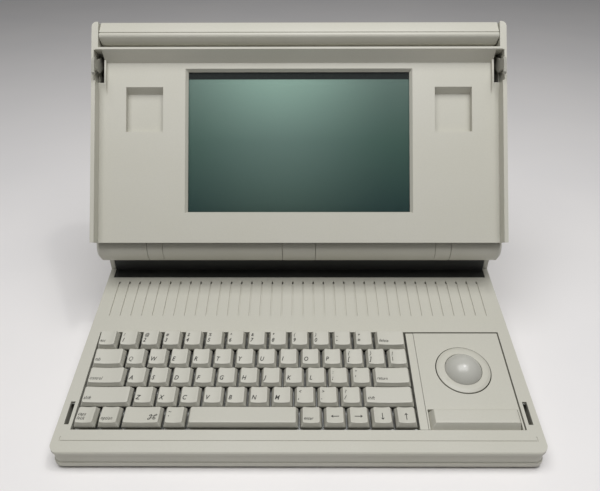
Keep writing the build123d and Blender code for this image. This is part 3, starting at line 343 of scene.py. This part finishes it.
def coatedWindow(name, recipe):
    # Clear acrylic window with a soft anti-glare coat: nearly all light passes, and the sheen is broad.
    finish, place = newFinish(name)
    haze = noise(finish, place, recipe["hazeMm"])
    rough = addNode(finish, "ShaderNodeMapRange", sockets={
        "Value": (haze, "Fac"), "To Min": recipe["rough"][0], "To Max": recipe["rough"][1]})
    return surfaceOut(finish, {
        "Base Color": linear(recipe["colour"]), "Roughness": (rough, "Result"),
        "IOR": recipe["ior"], "Alpha": recipe["alpha"]})


def blackRubber(name, recipe):
    # Moulded rubber foot: matt black with pale dust in a fine pebble.
    finish, place = newFinish(name)
    pebble = noise(finish, place, recipe["pebbleMm"], recipe["pebbleDetail"])
    tint = mixed(finish, (pebble, "Fac"), linear(recipe["colour"]), linear(recipe["dust"]))
    bump = addNode(finish, "ShaderNodeBump", sockets={
        "Strength": recipe["bump"], "Distance": recipe["pebbleDeep"] * mm, "Height": (pebble, "Fac")})
    return surfaceOut(finish, {
        "Base Color": (tint, mixOut), "Roughness": recipe["rough"], "Normal": (bump, "Normal")})


def padInk(name, recipe):
    # Pad printed ink: flat and thin, its cover slightly broken over the plastic's grain.
    finish, place = newFinish(name)
    cover = noise(finish, place, recipe["coverMm"])
    tint = mixed(finish, (cover, "Fac"), linear(recipe["colour"]), linear(recipe["thin"]))
    return surfaceOut(finish, {
        "Base Color": (tint, mixOut), "Roughness": recipe["rough"], "IOR": recipe["ior"]})


# names that end in Mm give the size of a pattern's lumps, and fleck how much the grain changes the
# colour; the display cell's low and high, between which its painted reflection ramps, and the start of
# its painted shadow band are heights up the lid's frame, its reach is sideways
casing = {"colour": "#bfbdb3", "aged": "#b9b7aa", "driftMm": 70.0, "grainMm": 1.3, "fleck": 0.015,
          "rough": 0.46, "bump": 0.25}
keyAbs = {"colour": "#c0beb4", "aged": "#bbb9ad", "driftMm": 45.0, "grainMm": 1.0, "fleck": 0.012,
          "rough": 0.42, "bump": 0.2}
hookNylon = {"colour": "#a3a299", "aged": "#97958b", "driftMm": 30.0, "grainMm": 1.0, "fleck": 0.02,
             "rough": 0.4, "bump": 0.15}
ballResin = {"colour": "#b9b8b1", "aged": "#b4b3ab", "driftMm": 25.0, "grainMm": 0.8, "fleck": 0.006,
             "rough": 0.24, "bump": 0.05}
# dark moulded ABS; on the hinge cradle behind the deck this dark colour is also painted shade, standing
# in for the shade in the trough under the hinge barrel
darkAbsAndShade = {"colour": "#2a2b29", "aged": "#242523", "driftMm": 30.0, "grainMm": 1.0, "fleck": 0.05,
           "rough": 0.5, "bump": 0.3}
batteryAbs = {"colour": "#3a3d42", "aged": "#33363b", "driftMm": 40.0, "grainMm": 1.0, "fleck": 0.04,
              "rough": 0.45, "bump": 0.2}
zincSteel = {"colour": "#c4c5c4", "dull": "#a9aaa8", "grainMm": 0.8, "cloudMm": 18.0, "rough": 0.38}
castCase = {"colour": "#c9cacb", "dull": "#b3b4b6", "grainMm": 1.6, "cloudMm": 9.0, "rough": 0.5}
board = {"mask": "#1c5a36", "copper": "#2b7a48", "cellMm": 6.0, "spacing": 0.08, "edge": (0.04, 0.06),
         "rough": 0.3, "ior": 1.55}
pane = {"colour": "#2f3a37", "hazeMm": 1.2, "rough": (0.2, 0.3), "ior": 1.49, "alpha": 0.08}
# the cell's ramps are its grey-green tint with a painted reflection of the room over it; the dark colour
# above the band's height is a painted shadow
crystal = {"low": 27.5, "high": 162.2, "brightX": -18.0, "reach": 118.0, "paintedShadowBand": 153.5,
           "paintedShadowBandColour": "#0d1513", "rough": 0.55, "ior": 1.5, "specular": 0.08,
           "middle": [(0.0, "#41564f"), (0.5, "#69827a"), (1.0, "#9bbcae")],
           "sides": [(0.0, "#243b3a"), (0.5, "#435e55"), (1.0, "#647b73")]}
footRubber = {"colour": "#1b1b1b", "dust": "#2c2b29", "pebbleMm": 0.8, "pebbleDetail": 3.0,
              "pebbleDeep": 0.1, "bump": 0.3, "rough": 0.8}
darkInk = {"colour": "#1d1c1a", "thin": "#32302b", "coverMm": 0.6, "rough": 0.6, "ior": 1.5}

finishes = {
    "case_plastic": mouldedPlastic("warmGreyMouldedAbs", casing),
    "key_plastic": mouldedPlastic("keyMouldedAbs", keyAbs),
    "hook_plastic": mouldedPlastic("greyMouldedNylon", hookNylon),
    "ball_plastic": mouldedPlastic("polishedBallResin", ballResin),
    "dark_plastic": mouldedPlastic("darkMouldedAbsAndPaintedShade", darkAbsAndShade),
    "battery_case": mouldedPlastic("blueGreyMouldedAbs", batteryAbs),
    "steel": greyMetal("zincPlatedSteel", zincSteel),
    "drive_metal": greyMetal("castAluminium", castCase),
    "circuit_board": solderMask("greenSolderMask", board),
    "display_glass": coatedWindow("coatedAcrylicWindow", pane),
    "display_cell": liquidCrystal("liquidCrystalPaintedLight", crystal),
    "rubber": blackRubber("blackMouldedRubber", footRubber),
}
ink = padInk("darkGreyPadInk", darkInk)
print("finishes made:", len(finishes) + 1)


# ---- the carried-over solids: new finishes, merged corners and softened edges ----

softened = {
    "case": 0.45, "fine": 0.2,  # edge radius of the outer mouldings and of the small parts
    "merge": 0.004, "segments": 2, "sharpFrom": 32, "weight": 50, "drawnIn": 0.1,
}
fineNodes = {
    "retaining_ring", "latch_hooks", "port_shells", "port_cores", "round_sockets", "display_window",
}


def softenSolid(node, radius):
    weld = node.modifiers.new("joinCorners", "WELD")
    weld.merge_threshold = softened["merge"] * mm
    bevel = node.modifiers.new("softEdges", "BEVEL")
    bevel.width = radius * mm
    bevel.segments = softened["segments"]
    bevel.limit_method = "ANGLE"
    bevel.angle_limit = math.radians(softened["sharpFrom"])
    bevel.use_clamp_overlap = True
    normals = node.modifiers.new("faceNormals", "WEIGHTED_NORMAL")
    normals.weight = softened["weight"]


def drawIn(node, depth):
    # every face moved inwards a little, so that none lies in the same plane as its neighbour's
    shrink = node.modifiers.new("drawnIn", "DISPLACE")
    shrink.direction = "NORMAL"
    shrink.mid_level = 0.0
    shrink.strength = -depth * mm


for nodeName, node in nodes.items():
    for spot in node.material_slots:
        spot.material = finishes[spot.material.name.split(".")[0]]
    softenSolid(node, softened["fine"] if nodeName in fineNodes else softened["case"])
drawIn(nodes["display_panel"], softened["drawnIn"])
print("solids dressed")


# ---- key caps ----

keys = {
    "pitch": 19.05, "gap": 1.05, "left": -180.7, "back": 116.7,
    "skirt": -2.0, "sideDraft": 2.3, "frontDraft": 1.9, "backDraft": 1.4,
    "dish": 0.9, "edge": 0.6, "barEdge": 1.1, "skirtCorner": 0.5, "topCorner": 1.7,
    "climb": (0.0, 0.35, 0.7, 1.0),  # rings up the outside, as shares of the way to the rim
    "edgeTurns": (22.5, 45.0, 67.5, 90.0),  # rings round the rim
    "inward": (0.86, 0.7, 0.5, 0.28, 0.1),  # rings over the top, as shares of the rim's size
    "wall": 1.2, "roof": 0.7, "roofRing": 0.4, "innerCorner": 0.4,
    "stem": 2.0, "stemCorner": 0.3, "stemEnd": -3.6, "stemIn": 0.2,
    "sideSteps": 6, "cornerSteps": 4,
}
keyRows = [
    [1] * 13 + [1.5],
    [1.5] + [1] * 13,
    [1.75] + [1] * 11 + [1.75],
    [2.25] + [1] * 10 + [2.25],
    [1, 1, 1.75, 1, 4.75, 1, 1, 1, 1, 1],
]
rowTops = [(5.6, 6.4), (3.8, 4.8), (3.8, 3.9), (3.8, 3.8), (5.4, 3.9)]  # top height in front and behind
barRow, barPlace = 4, 4  # the space bar's row and its place there


def halfKey(units):
    # half the size of a cap at its skirt, for a key this many pitches wide
    return (units * keys["pitch"] - keys["gap"]) / 2


topFront = -halfKey(1) + keys["frontDraft"]
topBack = halfKey(1) - keys["backDraft"]


def capTop(x, y, halfTop, dish, tops):
    # a plane from the front height to the back one, less the finger dish: a trough along the depth,
    # lowest in the middle and level with the rim at both sides
    slope = np.clip((y - topFront) / (topBack - topFront), 0, 1)
    dip = dish * (1 - np.clip(np.abs(x) / halfTop, 0, 1) ** 2)
    return tops[0] + (tops[1] - tops[0]) * slope - dip


def keyCap(units, dish, edge, tops):
    # rings under the roof, down inside, up the sloping outside, round the rim and in over the dish
    halfX, halfY = halfKey(units), halfKey(1)
    sideSteps = max(keys["sideSteps"], int(round(keys["sideSteps"] * units)))
    pattern = roundedPattern(sideSteps, keys["cornerSteps"])
    climb, turn = np.array(keys["climb"]), np.radians(keys["edgeTurns"])

    full = min(tops) - keys["skirt"]
    rise = full - edge
    draft = np.concatenate([climb * rise / full, np.full(len(turn), rise / full)])
    extra = np.concatenate([np.zeros(len(climb)), edge * (1 - np.cos(turn))])
    side, front, back = (draft * keys[k] + extra for k in ("sideDraft", "frontDraft", "backDraft"))
    corner = keys["skirtCorner"] + (keys["topCorner"] - keys["skirtCorner"]) * draft
    x, y = roundedRings(pattern, halfX - side, halfY - (front + back) / 2, corner, (front - back) / 2)
    halfTop = halfX - side[-1]
    share = np.concatenate([climb, np.ones(len(turn))])[:, None]
    lift = np.concatenate([np.zeros(len(climb)), edge * np.sin(turn)])[:, None]
    rimHeight = capTop(x, y, halfTop, dish, tops) - edge
    z = keys["skirt"] + share * (rimHeight - keys["skirt"]) + lift
    outside = np.stack([x, y, z], -1)

    inward = np.array(keys["inward"])[:, None]
    middle = (front[-1] - back[-1]) / 2
    topX = x[-1][None, :] * inward
    topY = middle + (y[-1][None, :] - middle) * inward
    top = np.stack([topX, topY, capTop(topX, topY, halfTop, dish, tops)], -1)

    wall, roof = keys["wall"], min(tops) - dish - keys["roof"]
    innerX, innerY = roundedRings(
        pattern,
        np.array([halfX * keys["roofRing"], halfX - keys["sideDraft"] - wall, halfX - wall]),
        np.array([halfY * keys["roofRing"], halfY - keys["frontDraft"] - wall, halfY - wall]),
        keys["innerCorner"])
    inside = levelRings(innerX, innerY, [roof, roof, keys["skirt"]])
    cap = closedRings(np.concatenate([inside, outside, top]))
    stem = roundedStem(
        keys["stem"], keys["stem"], keys["stemCorner"], keys["stemEnd"], roof + keys["stemIn"])
    return joined([cap, stem])


def keyPlaces(row):
    # (middle x, middle up the slope, units) of each key in a row, from the left
    units = np.array(keyRows[row])
    middle = keys["left"] + keys["gap"] / 2 + (np.cumsum(units) - units / 2) * keys["pitch"]
    along = keys["back"] - keys["gap"] / 2 - (row + 0.5) * keys["pitch"]
    return [(x, along, size) for x, size in zip(middle, keyRows[row])]


def makeKeys():
    for row in range(len(keyRows)):
        caps = []
        for number, (x, along, units) in enumerate(keyPlaces(row)):
            bar = (row, number) == (barRow, barPlace)
            dish, edge = (0.0, keys["barEdge"]) if bar else (keys["dish"], keys["edge"])
            points, faces = keyCap(units, dish, edge, rowTops[row])
            placed = onDeck(points + np.array([x, along, 0.0]))
            if bar:
                piece = makePiece("spaceBarCap", placed, faces, "space", "key_plastic")
                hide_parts("space_bar")
            else:
                caps.append((placed, faces))
        piece = makePiece(f"keyCaps{row + 1}", *joined(caps), f"keys_{row + 1}", "key_plastic")
        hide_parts(f"key_row_{row + 1}")


makeKeys()
print("key caps made")


# ---- legends ----

legends = {
    "letter": 5.9, "digit": 5.7, "sign": 4.5, "word": 4.4, "slant": 0.28, "narrow": 0.78,
    "left": 0.7, "base": 2.6, "signLeft": 0.6, "signBase": 8.7, "lineStep": 3.9, "raise": 0.04,
    "weight": 0.02, "wordWeight": 0.009,  # how much the strokes are thickened, for each mm of size
    "curveSteps": 3,
}
# the arrows and the looped square: half lengths, and the place on the key's top
arrow = {"half": 3.3, "thick": 0.3, "head": 2.1, "spread": 0.72, "neck": 1.5, "up": 6.0}
square = {"half": 0.95, "loop": 0.68, "thick": 0.25, "around": 14, "wide": 1.3, "right": 5.0, "up": 2.4}
legendRows = [
    ["esc", "!1", "@2", "#3", "$4", "%5", "^6", "&7", "*8", "(9", ")0", "_-", "+=", "delete"],
    ["tab", *"QWERTYUIOP", "{[", "}]", "|\\"],
    ["control", *"ASDFGHJKL", ":;", "\"'", "return"],
    ["shift", *"ZXCVBNM", "<,", ">.", "?/", "shift"],
    ["caps lock", "option", "command", "~`", "", "enter", "left", "right", "down", "up"],
]
arrowTurns = {"right": 0.0, "up": 90.0, "left": 180.0, "down": 270.0}


def letterMesh(words, size):
    # the built-in face, slanted and narrowed, as flat triangles
    curve = bpy.data.curves.new("letters", "FONT")
    curve.body = words
    curve.size = size
    curve.shear = legends["slant"]
    if words != "Q":  # its tail meets the bowl too sharply to be thickened
        curve.offset = size * legends["wordWeight" if size == legends["word"] else "weight"]
    curve.resolution_u = legends["curveSteps"]
    holder = bpy.data.objects.new("letters", curve)
    mesh = bpy.data.meshes.new_from_object(holder)
    mesh.calc_loop_triangles()
    points = np.empty(len(mesh.vertices) * 3)
    mesh.vertices.foreach_get("co", points)
    faces = np.empty(len(mesh.loop_triangles) * 3, int)
    mesh.loop_triangles.foreach_get("vertices", faces)
    bpy.data.objects.remove(holder)
    bpy.data.curves.remove(curve)
    bpy.data.meshes.remove(mesh)
    points = points.reshape(-1, 3) * np.array([legends["narrow"], 1.0, 1.0])
    return points, faces.reshape(-1, 3).tolist()


def arrowMesh(turn):
    # a thin shaft with a small solid head, drawn to the right and turned about its middle
    half, thick, head = arrow["half"], arrow["thick"], arrow["head"]
    neck, spread = half - arrow["neck"], head * arrow["spread"]
    points = np.array([
        [-half, -thick, 0], [neck, -thick, 0], [neck, thick, 0], [-half, thick, 0],
        [half - head, -spread, 0], [half, 0, 0], [half - head, spread, 0], [neck, 0, 0]])
    faces = [[0, 1, 2, 3], [4, 5, 7], [7, 5, 6]]
    c, s = math.cos(math.radians(turn)), math.sin(math.radians(turn))
    return points @ np.array([[c, s, 0], [-s, c, 0], [0, 0, 1]]), faces


def loopedSquare():
    # four bars round a middle square, and at each corner a ring between an inner and an outer circle
    half, loop, thick, count = (square[k] for k in ("half", "loop", "thick", "around"))
    bar = np.array([[-half, -thick], [half, -thick], [half, thick], [-half, thick]])
    turn = np.linspace(0, 2 * math.pi, count, endpoint=False)
    circle = np.stack([np.cos(turn), np.sin(turn)], -1)
    ring = np.concatenate([circle * (loop - thick), circle * (loop + thick)])
    here, onward = np.arange(count), (np.arange(count) + 1) % count
    ringQuads = np.stack([here, here + count, onward + count, onward], -1).tolist()
    parts = []
    for side in (-1, 1):
        parts.append((bar + np.array([0, side * half]), [[0, 1, 2, 3]]))
        parts.append((bar[:, ::-1] * np.array([-1, 1]) + np.array([side * half, 0]), [[0, 1, 2, 3]]))
        for upper in (-1, 1):
            parts.append((ring + (half + loop) * np.array([side, upper]), ringQuads))
    points, faces = joined(parts)
    across = points[:, 0] * square["wide"] + legends["slant"] * points[:, 1]
    return np.stack([across, points[:, 1], np.zeros(len(points))], -1), faces


def legendParts(text, halfTop):
    # what one key carries, as (points, faces) from the middle of its top's front edge
    left, base = -halfTop + legends["left"], legends["base"]
    if text in arrowTurns:
        points, faces = arrowMesh(arrowTurns[text])
        return [(points + np.array([0.0, arrow["up"], 0.0]), faces)]
    if text == "command":
        points, faces = loopedSquare()
        return [(points + np.array([halfTop - square["right"], base + square["up"], 0.0]), faces)]
    if text == "caps lock":
        spots = [("caps", "word", left, base + legends["lineStep"]), ("lock", "word", left, base)]
    elif len(text) == 1:
        spots = [(text, "letter", left, base)]
    elif len(text) == 2:
        spots = [(text[0], "sign", left + legends["signLeft"], legends["signBase"]),
                 (text[1], "digit", left, base)]
    else:
        spots = [(text, "word", left, base)] if text else []
    parts = []
    for words, size, x, y in spots:
        points, faces = letterMesh(words, legends[size])
        parts.append((points + np.array([x, y, 0.0]), faces))
    return parts


def makeLegends():
    for row, texts in enumerate(legendRows):
        parts = []
        for (x, along, units), text in zip(keyPlaces(row), texts):
            halfTop = halfKey(units) - keys["sideDraft"]
            for points, faces in legendParts(text, halfTop):
                across, up = points[:, 0], points[:, 1] + topFront
                height = capTop(across, up, halfTop - keys["edge"], keys["dish"], rowTops[row])
                placed = np.stack([across + x, up + along, height + legends["raise"]], -1)
                parts.append((onDeck(placed), faces))
        makePiece(f"keyLegends{row + 1}", *joined(parts), f"keys_{row + 1}", "key_plastic",
                  finish=ink, smooth=False)


makeLegends()
print("legends made")


# ---- button ----

button = {
    "x": (105.6, 178.1), "along": (20.1, 37.8), "low": -5.0, "high": 2.6,
    "left": 3.8, "right": 1.0, "front": 4.4, "back": 0.8,  # how far each side slopes in
    "edge": 0.5, "corner": 0.5,
    "climb": (0.0, 0.03, 0.97, 1.0),  # rings up the sides, as shares of the way to the edge
    "edgeTurns": (30.0, 60.0, 90.0),  # rings round the edge
    "inward": (2.4, 4.8), "backInward": 0.8,  # rings over the top, and their share at the back
    "stem": (3.0, 2.5), "stemCorner": 0.2, "stemAlong": 9.5, "stemOut": 1.4, "stemIn": 1.0,
    "sideSteps": 8, "cornerSteps": 3,
}


def makeButton():
    # rings up the sloping sides, round the edge and in over the top; a stem goes down to the switch
    low, high, edge, inward = (button[k] for k in ("low", "high", "edge", "inward"))
    climb, turn = np.array(button["climb"]), np.radians(button["edgeTurns"])
    share = np.concatenate([climb, np.ones(len(turn) + len(inward))])
    extra = np.concatenate([np.zeros(len(climb)), edge * (1 - np.cos(turn)), inward])
    heights = np.concatenate([
        low + climb * (high - edge - low), high - edge + edge * np.sin(turn),
        np.full(len(inward), high)])
    left = button["x"][0] + share * button["left"] + extra
    right = button["x"][1] - share * button["right"] - extra
    near = button["along"][0] + share * button["front"] + extra
    far = button["along"][1] - share * button["back"] - extra * button["backInward"]
    corner = np.full(len(share), button["corner"])
    pattern = roundedPattern(button["sideSteps"], button["cornerSteps"])
    x, y = roundedRings(pattern, (right - left) / 2, (far - near) / 2, corner, (near + far) / 2)
    shell = closedRings(levelRings(x + ((left + right) / 2)[:, None], y, heights))
    stem = roundedStem(
        *button["stem"], button["stemCorner"], low - button["stemOut"], low + button["stemIn"],
        sum(button["x"]) / 2, button["along"][0] + button["stemAlong"])
    points, faces = joined([shell, stem])
    piece = makePiece("slopedButton", onDeck(points), faces, "button", "case_plastic")
    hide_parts("track_button")


makeButton()
print("button made")


# ---- trackball ----

ball = {"r": 17.0, "x": 141.84, "along": 76.4, "h": -6.211, "rings": 48, "around": 96}


def makeBall():
    # a sphere: rings by polar angle from the foot to the top, closed by a fan to each pole
    polar = np.linspace(math.pi, 0, ball["rings"] + 1)[1:-1][:, None]
    turn = np.linspace(0, 2 * math.pi, ball["around"], endpoint=False)[None, :]
    x = ball["r"] * np.sin(polar) * np.cos(turn)
    y = ball["r"] * np.sin(polar) * np.sin(turn)
    z = ball["r"] * np.cos(polar) + np.zeros_like(x)
    points, faces = closedRings(np.stack([x, y, z], -1))
    points[-2:] = [[0, 0, -ball["r"]], [0, 0, ball["r"]]]
    placed = onDeck(points + np.array([ball["x"], ball["along"], ball["h"]]))
    piece = makePiece("polishedBall", placed, faces, "ball", "ball_plastic")
    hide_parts("track_ball")


makeBall()
print("ball made")


# ---- handle ----

handle = {
    "half": 183.2, "seam": 192.0, "seamGap": 0.15, "low": 179.9, "top": 203.5, "back": -5.4,
    "taper": 2.4, "taperFrom": 188.0, "taperPower": 1.5,
    "edge": 1.2, "endTurns": (90.0, 60.0, 30.0, 0.0), "arcSteps": 5,
    "seamFront": 36.2, "topFront": 31.0,  # the cap's face leans back from the seam to the top
    "fingers": [(188.9, 37.4, 3.6), (182.7, 30.0, 0.8), (183.6, 21.0, 1.0)],  # the grip rolls under
    "heel": 17.0,  # where the slope for the fingers ends
    "backRound": 6.5, "topRound": 2.4, "backSeamRound": 0.4, "frontSeamRound": 0.5, "heelRound": 1.0,
}


def roundedOutline(corners):
    # corners (a, b, radius) in order, each turned into an arc that is tangent to both of its sides: it
    # starts radius / tan(half the corner's angle) before the corner, and its points come from the
    # start and the end, as seen from its centre, mixed by the sines of the shares of its turn
    found = []
    for number, (a, b, radius) in enumerate(corners):
        here = np.array([a, b])
        before = np.array(corners[number - 1][:2]) - here
        after = np.array(corners[(number + 1) % len(corners)][:2]) - here
        before, after = before / np.linalg.norm(before), after / np.linalg.norm(after)
        halfAngle = math.acos(np.clip(before @ after, -1, 1)) / 2
        middle = (before + after) / np.linalg.norm(before + after)
        centre = here + middle * radius / math.sin(halfAngle)
        start = here + before * radius / math.tan(halfAngle) - centre
        end = here + after * radius / math.tan(halfAngle) - centre
        total = math.pi - 2 * halfAngle
        for share in np.linspace(0, 1, handle["arcSteps"] + 1):
            outwards = math.sin((1 - share) * total) * start + math.sin(share * total) * end
            found.append(centre + outwards / math.sin(total))
    return np.array(found)


def barAlongX(section):
    # the section (up the lid, out of it) carried along X, with its ends rounded by rings that draw in
    # by edge (1 - cos t) while they move out by edge sin t; the lower part of each end tapers inwards
    middle = section.mean(0)
    turn = np.radians(handle["endTurns"])
    inset = handle["edge"] * (1 - np.cos(turn))
    reach = handle["edge"] * (1 - np.sin(turn))
    below = (handle["taperFrom"] - section[:, 0]) / (handle["taperFrom"] - handle["low"])
    taper = handle["taper"] * np.clip(below, 0, 1) ** handle["taperPower"]
    size = np.abs(section - middle).max(0)
    rings = []
    for side, order in ((-1, range(len(turn))), (1, reversed(range(len(turn))))):
        for n in order:
            drawn = middle + (section - middle) * (1 - inset[n] / size)
            x = side * (handle["half"] - taper - reach[n])
            rings.append(np.stack([x, drawn[:, 0], drawn[:, 1]], -1))
    return closedRings(np.array(rings))


def makeHandle():
    seam, gap, low, top, back = (handle[k] for k in ("seam", "seamGap", "low", "top", "back"))
    sections = {
        "handle_cap": [
            (seam + gap, back, handle["backSeamRound"]), (top, back, handle["backRound"]),
            (top, handle["topFront"], handle["topRound"]),
            (seam + gap, handle["seamFront"], handle["frontSeamRound"])],
        "handle_grip": [
            (low, back, handle["backRound"]), (seam - gap, back, handle["backSeamRound"]),
            (seam - gap, handle["seamFront"], handle["frontSeamRound"]),
            *handle["fingers"], (low, handle["heel"], handle["heelRound"])],
    }
    for name, corners in sections.items():
        points, faces = barAlongX(roundedOutline(corners))
        piece = makePiece(
            name.replace("_", "") + "Shell", onLid(points), faces, "handle", "case_plastic")
        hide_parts(name)


makeHandle()
print("handle made")


# ---- stage ----

stage = {
    "half": 9.0,  # metres from the middle to each side
    "colour": "#efecea", "uneven": "#e6e4e4", "coatMm": 200.0, "rough": 0.6,
}


def tableTop(name, recipe):
    # Powder coated table: plain and pale, with a barely uneven coat.
    finish, place = newFinish(name)
    coat = noise(finish, place, recipe["coatMm"])
    tint = mixed(finish, (coat, "Fac"), linear(recipe["colour"]), linear(recipe["uneven"]))
    return surfaceOut(finish, {"Base Color": (tint, mixOut), "Roughness": recipe["rough"]})


def makeStage():
    half = stage["half"]
    corners = [(-half, -half, 0), (half, -half, 0), (half, half, 0), (-half, half, 0)]
    mesh = bpy.data.meshes.new("tableTop")
    mesh.from_pydata(corners, [], [(0, 1, 2, 3)])
    mesh.materials.append(tableTop("powderCoatedTable", stage))
    floor = bpy.data.objects.new("tableTop", mesh)
    bpy.context.scene.collection.objects.link(floor)


lamps = {  # metres and watts
    "ceiling": {"place": (0, -0.32, 1.5), "aim": (0, -0.1, 0), "size": (1.5, 1.0), "power": 22.5},
    "spark": {"place": (0.25, -0.1, 1.2), "aim": (0.14, -0.11, 0.04), "size": (0.07, 0.07),
              "power": 1.2},
}
room = {"colour": "#f4f5f8", "strength": 0.13}


def makeLamps():
    for name, lamp in lamps.items():
        light = bpy.data.lights.new(name, "AREA")
        light.shape = "RECTANGLE"
        light.size, light.size_y = lamp["size"]
        light.energy = lamp["power"]
        holder = bpy.data.objects.new(name, light)
        toward = Vector(lamp["aim"]) - Vector(lamp["place"])
        turn = toward.to_track_quat("-Z", "Y").to_matrix().to_4x4()
        holder.matrix_world = Matrix.Translation(Vector(lamp["place"])) @ turn
        bpy.context.scene.collection.objects.link(holder)
    world = bpy.data.worlds.new("room")
    world.use_nodes = True
    background = world.node_tree.nodes["Background"]
    background.inputs["Color"].default_value = linear(room["colour"])
    background.inputs["Strength"].default_value = room["strength"]
    bpy.context.scene.world = world
    bpy.context.scene.view_settings.view_transform = "Standard"


makeStage()
makeLamps()
print("stage and lamps set")
